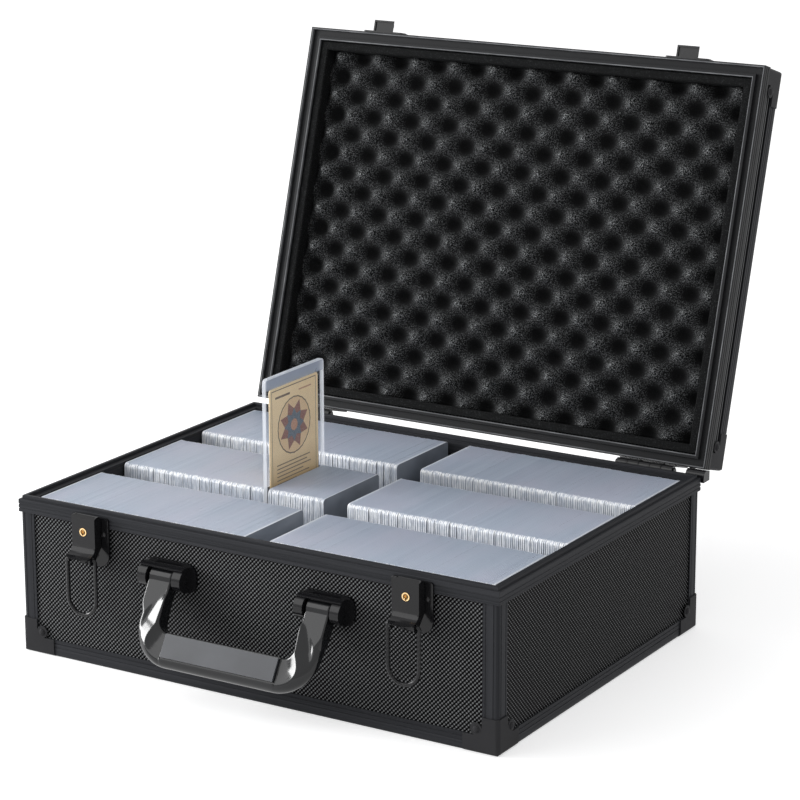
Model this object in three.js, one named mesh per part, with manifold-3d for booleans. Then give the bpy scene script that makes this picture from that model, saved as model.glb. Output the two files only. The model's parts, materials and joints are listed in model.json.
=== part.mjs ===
import * as THREE from 'three'
import { mergeVertices } from 'three/addons/utils/BufferGeometryUtils.js'
import Module from 'manifold-3d'

// A lidded carry case for cards in rigid sleeves: framed panels, an open lid, six rows of sleeves.
// Millimetres. X runs along the front, Y from front to back, Z up.
// The origin is the middle of the underside.

const wasm = await Module()
wasm.setup()

// Case
const caseWidth = 395
const caseDepth = 297
const baseHeight = 115
const lidHeight = 33.2
const lidOverhang = 1.2
const lidGap = 0.4
const openAngle = 106.64

// Frame extrusions
const frameInset = 1
const skinThick = 0.9
const coreInset = 7.3
const coreHeight = 7
const railHeight = 12.7
const legWidth = 12.9
const edgeRound = 2.5
const flute = 0.35
const fluteWidth = 0.8
const beadWidth = 1.9
const collarHeight = 9.6
const collarDepth = 9.5
const collarChannel = 5
const tongueInset = 2
const tongueWidth = 3.2
const tongueHeight = 2.5
const tongueEase = 0.5
const grooveInset = 1.6
const grooveEnd = 6.8
const grooveDepth = 3
const innerLipDrop = 0.3

// Panels and linings
const panelInset = 2.1
const panelThick = 5
const fit = 0.2
const liningThick = 2.4
const floorFoam = 7.4
const lidFoamInset = 10
const foamEdgeDepth = 2.5
const foamEdgeWidth = 6.5
const foamPeakDepth = 6
const foamHollowDepth = 20
const bumpPitchX = 17.35
const bumpPitchY = 15.2
const bumpX = 2.7
const bumpY = -98.9

// Corner guards and rivets
const guardThick = 0.8
const guardReach = 27.5
const guardArm = 12.8
const guardRound = 3.2
const guardTabRadius = 4.6
const guardTabPlace = 17.2
const baseGuardRise = 26
const lidGuardRise = 23.6
const rivetRadius = 2.7
const rivetDome = 1.5

// Sleeves
const sleeveWidth = 76.2
const sleeveHeight = 101.6
const sleevePitch = 3
const sleeveRound = 3
const sleevePocketWall = 0.85
const sleevePocketEdge = 3.5
const rowGap = 24
const columnGap = 20
const raisedBy = 81.4
const sleevesBesideRaised = 16
const slotEase = 0.35
const cardWidth = 63.5
const cardHeight = 88.9
const cardThick = 0.6
const cardRound = 3
const dividerHeight = 85

// Latches, with heights from the base's top
const latchShare = 0.33544
const plateHalf = 16
const plateLow = -38
const plateHigh = -2
const plateThick = 1.5
const plateRound = 9
const plateTopRound = 2
const plateRivetShares = [[-0.725, 0.667], [0.725, 0.667], [-0.344, 0.222], [0.344, 0.222]]
const plateRivetRadius = 2
const plateRivetDome = 1.1
const leverPinOut = 4.5
const leverPinHeight = -2.8
const leverPinRadius = 1.1
const leverBarrel = 2.4
const leverHalf = 10
const leverFront = 9.5
const leverSheet = 1.2
const leverBack = 2.3
const leverLow = -21.6
const leverTop = -1.6
const leverRoof = -0.3
const tabReach = 9.2
const tabDrop = 6.9
const tabCurl = 285
const tabRound = 6.5
const tabSheet = 1
const bailPivotOut = 12.7
const bailPivotHeight = -30.5
const bailWire = 1.5
const bailHalf = 12.15
const bailLength = 41.5
const bailBend = 1.8
const bailTuck = 8.2
const bailEye = 3.4
const boreEase = 0.3
const lockHeight = -11.8
const lockRadius = 3
const lockProud = 0.4
const lockLength = 6
const keyway = 1
const keywayDepth = 2
const keyholeRadius = 1.6

// Hasps
const latchedAngle = 191.5
const haspPlateHalf = 18
const haspPlateLow = 2
const haspPlateHigh = 22
const haspPlateThick = 1.2
const haspLow = 2.6
const haspReach = 10
const haspEase = 0.4
const haspWall = 1.4
const haspRecess = 0.9
const noseHalf = 5
const noseEase = 0.7
const noseFoot = 5
const noseRound = 3.4

// Handle
const bracketShare = 0.16392
const bracketHalf = 21.75
const bracketBelow = 11
const bracketAbove = 10
const bracketThick = 2
const bossOuter = 17.9
const bossInner = 10.9
const bossRadius = 8.4
const handlePivotDrop = 34
const handlePivotOut = 6.4
const handlePinRadius = 1.8
const hoodThick = 1.4
const hoodRadius = 8.2
const handleRest = 30
const armWidth = 18.8
const armEye = 6.6
const armThick = 11
const armRamp = 8
const gripMiddle = 49.5
const gripDeep = 24
const gripThick = 14
const gripRound = 30
const gripInnerRound = 8
const insertHalf = 46.5
const insertBelow = 1
const insertDeep = 17
const insertThick = 1.6
const insertProud = 0.25

// Hinges and the lid's stop
const hingeShare = 0.37975
const hingeLength = 46
const hingeOut = 4.5
const hingeRise = 0.2
const knuckles = 5
const knuckleGap = 0.3
const knuckleRadius = 3.6
const knuckleBore = 1.7
const hingePin = 1.4
const hingePinHead = 2.4
const hingePinHeadLength = 1
const leafThick = 1.4
const leafLength = 24
const stopInset = 12.9
const stopLength = 15
const stopDrop = 4
const stopDeep = 10
const stopRadius = 4

// Run past a face that a cut goes through
const overrun = 1
const round = 8
const domeSteps = 3
const mergeTolerance = 1e-4
const degree = Math.PI / 180

// Places worked out from the sizes above
const frontPlane = -caseDepth / 2
const collarLow = baseHeight - collarHeight
const panelTop = collarLow + collarChannel - fit
const panelBack = panelInset + panelThick
const liningInset = panelBack + fit * 2
const lidDepth = caseDepth + lidOverhang
const lidMiddle = -lidOverhang / 2
const lidBottom = baseHeight + lidGap
const lidTop = lidBottom + lidHeight
const hingeY = caseDepth / 2 + hingeOut
const hingeHeight = baseHeight + hingeRise
const hingePlace = caseWidth * hingeShare
const latchPlace = caseWidth * latchShare
const bracketPlace = caseWidth * bracketShare
const handlePivotHeight = baseHeight - handlePivotDrop
const armOuter = bracketPlace + armWidth / 2
const innerX = caseWidth / 2 - liningInset - liningThick
const innerY = caseDepth / 2 - liningInset - liningThick
const rowNames = ['front', 'middle', 'rear']
const rowDepth = (innerY * 2 - rowGap * (rowNames.length - 1)) / rowNames.length - fit * 2
const rowLength = Math.floor((innerX - columnGap / 2) / sleevePitch) * sleevePitch
const rowFloor = panelThick + floorFoam + fit * 3
const rowTop = rowFloor + sleeveHeight
const raisedAt = -columnGap / 2 - (sleevesBesideRaised + 1 / 2) * sleevePitch

// Materials
const coat = (color, roughness, metalness) =>
  new THREE.MeshStandardMaterial({ color, roughness, metalness })
const extrusion = coat(0x46484b, 0.45, 0.7)
const knurled = coat(0x2b2d2f, 0.5, 0.1)
const hardware = coat(0x1c1d1f, 0.25, 0.5)
const brass = coat(0xd9a45a, 0.3, 1)
const foam = coat(0x1d1e20, 0.95, 0)
const clear = coat(0xb9bdcb, 0.25, 0)
const print = coat(0xcfb68c, 0.6, 0)
const moulded = coat(0x4a4c50, 0.3, 0.1)

// Shapes and prisms
function polygon(points) {
  return new THREE.Shape(points.map(([u, v]) => new THREE.Vector2(u, v)))
}

function arc(u, v, radius, from, to, steps = round) {
  const points = []
  for (let i = 0; i <= steps; i++) {
    const angle = (from + ((to - from) * i) / steps) * degree
    points.push([u + radius * Math.cos(angle), v + radius * Math.sin(angle)])
  }
  return points
}

function roundedRect(left, low, right, high, radius, steps = round / 2) {
  return polygon([
    ...arc(right - radius, low + radius, radius, -90, 0, steps),
    ...arc(right - radius, high - radius, radius, 0, 90, steps),
    ...arc(left + radius, high - radius, radius, 90, 180, steps),
    ...arc(left + radius, low + radius, radius, 180, 270, steps)
  ])
}

function disc(u, v, radius, steps = round * 2) {
  return polygon(arc(u, v, radius, 0, 360, steps).slice(1))
}

function extruded(shape, depth) {
  return new THREE.ExtrudeGeometry(shape, { depth, bevelEnabled: false })
}

// A shape drawn in (x, y), from one height to another
function upright(shape, low, high) {
  return extruded(shape, high - low).translate(0, 0, low)
}

// A shape drawn in (y, z), from one x to another
function crosswise(shape, from, to) {
  const turned = new THREE.Matrix4().makeBasis(
    new THREE.Vector3(0, 1, 0),
    new THREE.Vector3(0, 0, 1),
    new THREE.Vector3(1, 0, 0)
  )
  return extruded(shape, to - from).applyMatrix4(turned).translate(from, 0, 0)
}

// A shape drawn in (distance out of the front, z), from one x to another
function profile(shape, from, to) {
  const turned = new THREE.Matrix4().makeBasis(
    new THREE.Vector3(0, -1, 0),
    new THREE.Vector3(0, 0, 1),
    new THREE.Vector3(-1, 0, 0)
  )
  return extruded(shape, to - from).applyMatrix4(turned).translate(to, 0, 0)
}

// A shape drawn in (x, z), from one distance out of the front to another
function facing(shape, near, far) {
  return extruded(shape, far - near).rotateX(Math.PI / 2).translate(0, -near, 0)
}

function block(left, front, low, right, back, high) {
  return new THREE.BoxGeometry(right - left, back - front, high - low)
    .translate((left + right) / 2, (front + back) / 2, (low + high) / 2)
}

// Joins and cuts
function solidOf(geometry) {
  const plain = new THREE.BufferGeometry()
  plain.setAttribute('position', geometry.getAttribute('position').clone())
  if (geometry.index) plain.setIndex(geometry.index.clone())
  const merged = mergeVertices(plain, mergeTolerance)
  return new wasm.Manifold(new wasm.Mesh({
    numProp: 3,
    vertProperties: Float32Array.from(merged.getAttribute('position').array),
    triVerts: Uint32Array.from(merged.index.array)
  }))
}

function geometryOf(solid) {
  const mesh = solid.getMesh()
  const geometry = new THREE.BufferGeometry()
  geometry.setAttribute('position', new THREE.BufferAttribute(mesh.vertProperties, 3))
  geometry.setIndex(new THREE.BufferAttribute(mesh.triVerts, 1))
  geometry.computeVertexNormals()
  return geometry
}

function joined(...geometries) {
  return geometryOf(geometries.map(solidOf).reduce((whole, piece) => whole.add(piece)))
}

function cut(geometry, ...tools) {
  return geometryOf(tools.map(solidOf).reduce((whole, tool) => whole.subtract(tool), solidOf(geometry)))
}

function common(...geometries) {
  return geometryOf(geometries.map(solidOf).reduce((whole, piece) => whole.intersect(piece)))
}

function add(group, name, geometry, material) {
  const mesh = new THREE.Mesh(geometry, material)
  mesh.name = name
  group.add(mesh)
  return mesh
}

// A section of [inset, height] pairs run round a rectangle with mitred corners.
// The section climbs its outer face, crosses inward and comes down inside.
function mitredFrame(section, width, depth, middle = 0) {
  const corners = [[-1, -1], [1, -1], [1, 1], [-1, 1]]
  const positions = []
  for (const [inset, height] of section) {
    for (const [sideX, sideY] of corners) {
      positions.push(sideX * (width / 2 - inset), middle + sideY * (depth / 2 - inset), height)
    }
  }
  const index = []
  const count = corners.length
  for (let i = 0; i < section.length; i++) {
    const next = (i + 1) % section.length
    for (let k = 0; k < count; k++) {
      const turn = (k + 1) % count
      const [a, b] = [i * count + k, i * count + turn]
      const [c, d] = [next * count + turn, next * count + k]
      index.push(a, b, c, a, c, d)
    }
  }
  const geometry = new THREE.BufferGeometry()
  geometry.setAttribute('position', new THREE.Float32BufferAttribute(positions, 3))
  geometry.setIndex(index)
  return geometry
}

// An outer face from one height to another, with shallow grooves at the given shares of its height
function flutedFace(inset, low, high, shares) {
  const points = [[inset, low]]
  for (const share of shares) {
    const middle = low + (high - low) * share
    points.push([inset, middle - fluteWidth / 2])
    points.push([inset + flute, middle - fluteWidth / 2])
    points.push([inset + flute, middle + fluteWidth / 2])
    points.push([inset, middle + fluteWidth / 2])
  }
  points.push([inset, high])
  return points
}

// Base frame
const railShares = [0.42, 0.74]
const collarShares = [0.3, 0.62]

function roundedCorners(geometry, inset, middle, depth, low, high) {
  const [halfX, halfY] = [caseWidth / 2 - inset, depth / 2 - inset]
  const keep = roundedRect(-halfX, middle - halfY, halfX, middle + halfY, edgeRound, round / 2)
  return common(geometry, upright(keep, low - overrun, high + overrun))
}

function railSection() {
  const curve = arc(frameInset + edgeRound, edgeRound, edgeRound, 270, 180, round / 2)
  return [
    ...curve,
    ...flutedFace(frameInset, edgeRound + flute, railHeight, railShares),
    [frameInset + skinThick, railHeight],
    [frameInset + skinThick, coreHeight],
    [coreInset, coreHeight],
    [coreInset, 0]
  ]
}

const cornerSigns = [
  ['front_left', -1, -1],
  ['front_right', 1, -1],
  ['rear_left', -1, 1],
  ['rear_right', 1, 1]
]

function bottomFrame() {
  const ring = mitredFrame(railSection(), caseWidth, caseDepth)
  const rounded = roundedCorners(ring, frameInset, 0, caseDepth, 0, railHeight)
  return cut(rounded, ...baseSeats())
}

function collar() {
  const tongueEnd = tongueInset + tongueWidth
  const tongueTop = baseHeight + tongueHeight
  const section = [
    ...flutedFace(0, collarLow, baseHeight - tongueEase, collarShares),
    [tongueEase, baseHeight],
    [tongueInset, baseHeight],
    [tongueInset, tongueTop - tongueEase],
    [tongueInset + tongueEase, tongueTop],
    [tongueEnd - tongueEase, tongueTop],
    [tongueEnd, tongueTop - tongueEase],
    [tongueEnd, baseHeight],
    [collarDepth, baseHeight],
    [collarDepth, collarLow],
    [panelBack + fit, collarLow],
    [panelBack + fit, collarLow + collarChannel],
    [panelInset - fit, collarLow + collarChannel],
    [panelInset - fit, collarLow]
  ]
  return mitredFrame(section, caseWidth, caseDepth)
}

// Half of a post's outline in (inset from one face, inset from the other), from the corner outwards
function postLeg() {
  const grooveAt = legWidth - beadWidth
  const step = frameInset + edgeRound + fluteWidth
  return [
    [step, frameInset],
    [step, frameInset + flute],
    [step + fluteWidth, frameInset + flute],
    [step + fluteWidth, frameInset],
    [grooveAt - fluteWidth, frameInset],
    [grooveAt - fluteWidth, frameInset + flute],
    [grooveAt, frameInset + flute],
    [grooveAt, frameInset],
    [legWidth, frameInset],
    [legWidth, frameInset + skinThick],
    [coreInset, frameInset + skinThick]
  ]
}

function post(sideX, sideY) {
  const leg = postLeg()
  const middle = frameInset + edgeRound
  const outline = [
    ...arc(middle, middle, edgeRound, 180, 270, round / 2),
    ...leg,
    [coreInset, coreInset],
    ...leg.map(([a, b]) => [b, a]).reverse()
  ]
  const shape = polygon(outline.map(([a, b]) =>
    [sideX * (caseWidth / 2 - a), sideY * (caseDepth / 2 - b)]))
  return upright(shape, railHeight + fit, collarLow - fit)
}

function addBaseFrame(group) {
  add(group, 'bottom_frame', bottomFrame(), extrusion)
  add(group, 'base_collar', collar(), extrusion)
  for (const [name, sideX, sideY] of cornerSigns) {
    add(group, `corner_post_${name}`, post(sideX, sideY), extrusion)
  }
}

// Panels and foam of the base
function addPanels(group) {
  const halfX = caseWidth / 2 - coreInset - fit
  const halfY = caseDepth / 2 - coreInset - fit
  const low = coreHeight + fit
  const [outY, inY] = [caseDepth / 2 - panelInset, caseDepth / 2 - panelBack]
  const [outX, inX] = [caseWidth / 2 - panelInset, caseWidth / 2 - panelBack]
  add(group, 'front_panel', block(-halfX, -outY, low, halfX, -inY, panelTop), knurled)
  add(group, 'rear_panel', block(-halfX, inY, low, halfX, outY, panelTop), knurled)
  add(group, 'left_panel', block(-outX, -halfY, low, -inX, halfY, panelTop), knurled)
  add(group, 'right_panel', block(inX, -halfY, low, outX, halfY, panelTop), knurled)
  const floor = block(-halfX, -halfY, 0, halfX, halfY, panelThick)
  add(group, 'bottom_panel', cut(floor, ...baseSeats()), knurled)
}

function foamTray() {
  const halfX = caseWidth / 2 - liningInset
  const halfY = caseDepth / 2 - liningInset
  const low = panelThick + fit
  const outer = block(-halfX, -halfY, low, halfX, halfY, collarLow - fit)
  return cut(outer, block(-innerX, -innerY, low + floorFoam, innerX, innerY, baseHeight))
}

function foamDividers() {
  const [halfX, halfY] = [innerX - fit, innerY - fit]
  const low = panelThick + fit + floorFoam + fit
  const acrossHalf = rowGap / 2 - slotEase
  const middle = (rowDepth + rowGap) / 2
  const columnHalf = columnGap / 2 - slotEase
  return joined(
    block(-halfX, middle - acrossHalf, low, halfX, middle + acrossHalf, dividerHeight),
    block(-halfX, -middle - acrossHalf, low, halfX, -middle + acrossHalf, dividerHeight),
    block(-columnHalf, -halfY, low, columnHalf, halfY, dividerHeight)
  )
}

function addFoam(group) {
  add(group, 'foam_tray', foamTray(), foam)
  add(group, 'foam_dividers', foamDividers(), foam)
}

// Rows of sleeves
function rowBlock(left, right, middle) {
  const [front, back] = [middle - rowDepth / 2, middle + rowDepth / 2]
  return crosswise(roundedRect(front, rowFloor, back, rowTop, sleeveRound), left, right)
}

function addRows(group) {
  const slotHalf = sleevePitch / 2 + slotEase
  rowNames.forEach((name, i) => {
    const middle = (i - 1) * (rowDepth + rowGap)
    const [near, far] = [columnGap / 2, columnGap / 2 + rowLength]
    add(group, `sleeve_row_${name}_right`, rowBlock(near, far, middle), clear)
    if (name === 'middle') {
      const [before, after] = [raisedAt - slotHalf, raisedAt + slotHalf]
      add(group, 'sleeve_row_middle_left_outer', rowBlock(-far, before, middle), clear)
      add(group, 'sleeve_row_middle_left_inner', rowBlock(after, -near, middle), clear)
    } else {
      add(group, `sleeve_row_${name}_left`, rowBlock(-far, -near, middle), clear)
    }
  })
}

// The sleeve that stands up out of its row, with its card
function addRaisedSleeve(group) {
  const half = sleeveWidth / 2
  const thick = sleevePitch / 2
  const sleeve = crosswise(roundedRect(-half, 0, half, sleeveHeight, sleeveRound), -thick, thick)
  const pocket = half - sleevePocketEdge
  const hollow = thick - sleevePocketWall
  const mouth = block(-hollow, -pocket, sleevePocketEdge, hollow, pocket, sleeveHeight + overrun)
  const card = crosswise(
    roundedRect(-cardWidth / 2, 0, cardWidth / 2, cardHeight, cardRound),
    -cardThick / 2,
    cardThick / 2
  )
  const raised = new THREE.Group()
  raised.position.set(raisedAt, 0, rowFloor + raisedBy)
  add(raised, 'raised_sleeve', cut(sleeve, mouth), clear)
  add(raised, 'raised_card', card, print).position.z = sleevePocketEdge + fit
  group.add(raised)
}

// Corner guards: three thin arms each way from the corner, with a tab for the rivet
function guardOutline(reachP, reachQ) {
  const lean = Math.acos((guardTabPlace - guardArm) / guardTabRadius) / degree
  return [
    ...arc(guardRound, guardRound, guardRound, 180, 270, round / 2),
    [reachP, 0],
    [reachP, guardArm],
    ...arc(guardTabPlace, guardTabPlace, guardTabRadius, -90 + lean, 180 - lean, round),
    [guardArm, reachQ],
    [0, reachQ]
  ]
}

function cornerSquare(inset, reach) {
  const radius = guardRound - inset
  return [
    ...arc(guardRound, guardRound, radius, 180, 270, round / 2),
    [reach, inset],
    [reach, reach],
    [inset, reach]
  ]
}

// Turns insets from a corner's three faces into places; rise is 1 above a flat end and -1 below it
function cornerPlaces([, sideX, sideY], middle, depth, end, rise) {
  return {
    x: (a) => sideX * (caseWidth / 2 - a),
    y: (b) => middle + sideY * (depth / 2 - b),
    z: (c) => end + rise * c
  }
}

// What three outlines, drawn in insets on the three faces of a corner, have in common
function cornerForm(to, plan, front, side, reach) {
  const span = (place) => [place(-overrun), place(reach)].sort((p, q) => p - q)
  const [nearY, farY] = span(to.y)
  return common(
    upright(polygon(plan.map(([a, b]) => [to.x(a), to.y(b)])), ...span(to.z)),
    facing(polygon(front.map(([a, c]) => [to.x(a), to.z(c)])), -farY, -nearY),
    crosswise(polygon(side.map(([b, c]) => [to.y(b), to.z(c)])), ...span(to.x))
  )
}

// What a guard's seat takes out of the frame and panels under it
function guardSeat(corner, middle, depth, end, rise) {
  const to = cornerPlaces(corner, middle, depth, end, rise)
  const reach = guardReach + fit
  const far = reach + overrun
  const square = cornerSquare(guardThick + fit, far)
  const box = (near, beyond) => [[near, near], [beyond, near], [beyond, beyond], [near, beyond]]
  const whole = box(-overrun, reach)
  return cut(
    cornerForm(to, whole, whole, whole, reach),
    cornerForm(to, square, square, square, far)
  )
}

function baseSeats() {
  return cornerSigns.map((corner) => guardSeat(corner, 0, caseDepth, 0, 1))
}

function lidSeats() {
  return cornerSigns.map((corner) => guardSeat(corner, lidMiddle, lidDepth, lidTop, -1))
}

function dome(radius, height, sunk) {
  const curve = arc(0, 0, 1, 0, 90, domeSteps).map(([u, v]) => [u * radius, v * height])
  const points = [[0, -sunk], [radius, -sunk], ...curve.slice(0, -1), [0, height]]
  return new THREE.LatheGeometry(points.map(([u, v]) => new THREE.Vector2(u, v)), round)
}

function guard(corner, middle, depth, end, rise, reachUp) {
  const to = cornerPlaces(corner, middle, depth, end, rise)
  const [, sideX, sideY] = corner
  const flat = guardOutline(guardReach, guardReach)
  const tall = guardOutline(guardReach, reachUp)
  const far = guardReach + overrun
  const square = cornerSquare(guardThick, far)
  const frontRivet = dome(rivetRadius, rivetDome, guardThick / 2)
    .rotateX((sideY - 1) * Math.PI / 2)
    .translate(to.x(guardTabPlace), to.y(0), to.z(guardTabPlace))
  const sideRivet = dome(rivetRadius, rivetDome, guardThick / 2)
    .rotateZ(-sideX * Math.PI / 2)
    .translate(to.x(0), to.y(guardTabPlace), to.z(guardTabPlace))
  const shell = cut(
    cornerForm(to, flat, tall, tall, guardReach),
    cornerForm(to, square, square, square, far)
  )
  return joined(shell, frontRivet, sideRivet)
}

function addBaseGuards(group) {
  for (const corner of cornerSigns) {
    add(group, `base_guard_${corner[0]}`, guard(corner, 0, caseDepth, 0, 1, baseGuardRise), hardware)
  }
}

// Latches
function latchPlate() {
  const outline = polygon([
    ...arc(plateHalf - plateRound, plateLow + plateRound, plateRound, -90, 0),
    ...arc(plateHalf - plateTopRound, plateHigh - plateTopRound, plateTopRound, 0, 90, round / 2),
    ...arc(plateTopRound - plateHalf, plateHigh - plateTopRound, plateTopRound, 90, 180, round / 2),
    ...arc(plateRound - plateHalf, plateLow + plateRound, plateRound, 180, 270)
  ])
  const front = fit + plateThick
  const knuckleHalf = leverHalf - leverSheet - fit
  const domes = plateRivetShares.map(([across, up]) =>
    dome(plateRivetRadius, plateRivetDome, plateThick / 2)
      .rotateX(Math.PI)
      .translate(across * plateHalf, -front, plateLow + up * (plateHigh - plateLow)))
  const pinHalf = leverHalf + fit * 2
  return joined(
    facing(outline, fit, front),
    profile(disc(leverPinOut, leverPinHeight, leverBarrel), -knuckleHalf, knuckleHalf),
    profile(polygon([
      [fit, leverPinHeight - leverBarrel],
      [leverPinOut, leverPinHeight - leverBarrel],
      [leverPinOut, leverPinHeight],
      [front, plateHigh],
      [fit, plateHigh]
    ]), -knuckleHalf, knuckleHalf),
    profile(disc(leverPinOut, leverPinHeight, leverPinRadius), -pinHalf, pinHalf),
    ...domes
  )
}

// The thumb tab, in (distance out, z): a sheet that sweeps down and out from the lever's front
function tabCurve(offset) {
  return arc(0, 0, 1, 180, tabCurl).map(([u, v]) =>
    [leverFront + tabReach * (1 + u) - offset, leverLow + tabDrop * v - offset])
}

function leverBody() {
  const outline = polygon([
    [leverBack, bailPivotHeight + bailEye * 2],
    ...arc(bailPivotOut, bailPivotHeight, bailEye, -120, 60),
    [leverFront, leverLow + leverSheet],
    [leverFront, leverTop],
    [leverPinOut + leverBarrel, leverRoof],
    [leverPinOut, leverRoof],
    [leverBack, leverPinHeight]
  ])
  const inside = leverHalf - leverSheet
  const front = leverFront - leverSheet
  const hollow = polygon([
    [0, plateLow],
    [leverFront * 2, plateLow],
    [leverFront * 2, leverLow],
    [front, leverLow],
    [front, leverTop - leverSheet],
    [leverPinOut + leverBarrel + fit, leverTop],
    [leverPinOut + leverBarrel + fit, leverRoof + overrun],
    [0, leverRoof + overrun]
  ])
  const pinBore = profile(
    disc(leverPinOut, leverPinHeight, leverPinRadius + boreEase), -leverHalf - overrun, leverHalf + overrun)
  const wireBore = profile(
    disc(bailPivotOut, bailPivotHeight, bailWire + boreEase), -leverHalf - overrun, leverHalf + overrun)
  const lockBore = facing(disc(0, lockHeight, lockRadius + boreEase), front - overrun, leverFront + overrun)
  const aboveTab = profile(polygon([
    [leverFront, leverTop],
    ...tabCurve(0),
    [leverFront * 3, leverTop]
  ]), -leverHalf - overrun, leverHalf + overrun)
  return cut(
    profile(outline, -leverHalf, leverHalf),
    profile(hollow, -inside, inside),
    pinBore,
    wireBore,
    lockBore,
    aboveTab
  )
}

function thumbTab() {
  const top = tabCurve(0)
  const under = tabCurve(tabSheet).reverse()
  const sheet = profile(polygon([[leverFront - leverSheet / 2, leverLow + leverSheet], ...top, ...under]),
    -leverHalf, leverHalf)
  const tip = Math.max(...top.map(([out]) => out))
  const plan = polygon([
    ...arc(tabRound - leverHalf, tabRound - tip, tabRound, 180, 270),
    ...arc(leverHalf - tabRound, tabRound - tip, tabRound, 270, 360),
    [leverHalf, 0],
    [-leverHalf, 0]
  ])
  return common(sheet, upright(plan, leverLow - tabDrop - overrun * 2, leverTop))
}

// A curve whose rings stand at its own points, so that tight bends keep theirs
class Route extends THREE.CatmullRomCurve3 {
  getPointAt(share) {
    return this.getPoint(share)
  }

  getTangentAt(share) {
    return this.getTangent(share)
  }
}

function bail() {
  const bend = bailBend
  const half = bailHalf
  const low = -(bailLength - half)
  const points = []
  const put = (list) => list.forEach(([x, z]) => points.push(new THREE.Vector3(x, 0, z)))
  put([[-bailTuck, 0]])
  put(arc(bend - half, -bend, bend, 90, 180, round / 2))
  put(arc(0, low, half, 180, 360, round * 2))
  put(arc(half - bend, -bend, bend, 0, 90, round / 2))
  put([[bailTuck, 0]])
  return new THREE.ExtrudeGeometry(disc(0, 0, bailWire, round), {
    steps: points.length - 1,
    extrudePath: new Route(points, false, 'centripetal')
  })
}

function lock() {
  const shape = disc(0, 0, lockRadius)
  const barrel = facing(shape, 0, lockLength)
  const half = keyway / 2
  const [near, far] = [lockLength - keywayDepth, lockLength + overrun]
  const hole = facing(disc(0, 0, keyholeRadius, round), near, far)
  const slot = facing(roundedRect(-half, -lockRadius + half, half, 0, half / 2), near, far)
  return cut(barrel, hole, slot)
}

function addLatch(group, side, place) {
  const latch = new THREE.Group()
  latch.position.set(place, frontPlane, baseHeight)
  add(latch, `${side}_latch_plate`, latchPlate(), hardware)
  add(latch, `${side}_latch_lever`, joined(leverBody(), thumbTab()), hardware)
  const wire = add(latch, `${side}_latch_bail`, bail(), hardware)
  wire.position.set(0, -bailPivotOut, bailPivotHeight)
  const barrel = add(latch, `${side}_lock_cylinder`, lock(), brass)
  barrel.position.set(0, lockLength - leverFront - lockProud, lockHeight)
  group.add(latch)
}

// Handle
function bracket() {
  const plate = facing(
    roundedRect(
      -bracketHalf,
      handlePivotHeight - bracketBelow,
      bracketHalf,
      handlePivotHeight + bracketAbove,
      bracketHalf / 3,
      round
    ),
    -panelInset + fit,
    -panelInset + fit + bracketThick
  )
  const boss = (from, to) => joined(
    profile(disc(handlePivotOut, handlePivotHeight, bossRadius), from, to),
    profile(polygon([
      [-panelInset + fit, handlePivotHeight - bossRadius],
      [handlePivotOut, handlePivotHeight - bossRadius],
      [handlePivotOut, handlePivotHeight + bossRadius],
      [-panelInset + fit, handlePivotHeight + bossRadius]
    ]), from, to)
  )
  const back = polygon([
    ...arc(handlePivotOut, handlePivotHeight, hoodRadius + hoodThick, 60, 180),
    ...arc(handlePivotOut, handlePivotHeight, hoodRadius, 60, 180).reverse()
  ])
  const hood = cut(
    profile(back, -bossOuter, bossOuter),
    block(-bossOuter - overrun, panelInset - fit, 0, bossOuter + overrun, caseDepth, caseDepth)
  )
  const bore = disc(handlePivotOut, handlePivotHeight, handlePinRadius + boreEase)
  return cut(
    joined(plate, boss(bossInner, bossOuter), boss(-bossOuter, -bossInner), hood),
    profile(disc(handlePivotOut, handlePivotHeight, hoodRadius), -bossInner, bossInner),
    profile(bore, -bossOuter - overrun, bossOuter + overrun)
  )
}

function handleBody() {
  const inner = armOuter - armWidth
  const [gripTop, gripLow] = [-gripMiddle + gripDeep / 2, -gripMiddle - gripDeep / 2]
  const outline = polygon([
    [-armOuter, armEye],
    ...arc(gripRound - armOuter, gripLow + gripRound, gripRound, 180, 270),
    ...arc(armOuter - gripRound, gripLow + gripRound, gripRound, 270, 360),
    [armOuter, armEye],
    [inner, armEye],
    ...arc(inner - gripInnerRound, gripTop + gripInnerRound, gripInnerRound, 0, -90, round / 2),
    ...arc(gripInnerRound - inner, gripTop + gripInnerRound, gripInnerRound, -90, -180, round / 2),
    [-inner, armEye]
  ])
  const [half, armHalf] = [gripThick / 2, armThick / 2]
  const side = polygon([
    ...arc(0, 0, armEye, 180, 0),
    [armHalf, -armEye],
    [armHalf, gripTop + armRamp],
    [half, gripTop],
    ...arc(0, gripLow + half, half, 0, -180),
    [-half, gripTop],
    [-armHalf, gripTop + armRamp],
    [-armHalf, -armEye]
  ])
  const body = common(
    facing(outline, -gripThick, gripThick),
    profile(side, -armOuter, armOuter)
  )
  const bore = profile(disc(0, 0, handlePinRadius + boreEase), -armOuter - overrun, armOuter + overrun)
  const high = gripTop - insertBelow
  const pocket = facing(
    roundedRect(-insertHalf, high - insertDeep, insertHalf, high, fit * 2),
    half - insertThick,
    gripThick
  )
  return cut(body, bore, pocket)
}

function handleInsert() {
  const half = gripThick / 2
  const [right, high] = [insertHalf - fit, gripDeep / 2 - gripMiddle - insertBelow - fit]
  const low = high - insertDeep + fit * 2
  return facing(
    roundedRect(-right, low, right, high, fit),
    half - insertThick + fit,
    half + insertProud
  )
}

function handlePin() {
  return profile(disc(0, 0, handlePinRadius), -bossOuter, bossOuter)
}

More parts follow.
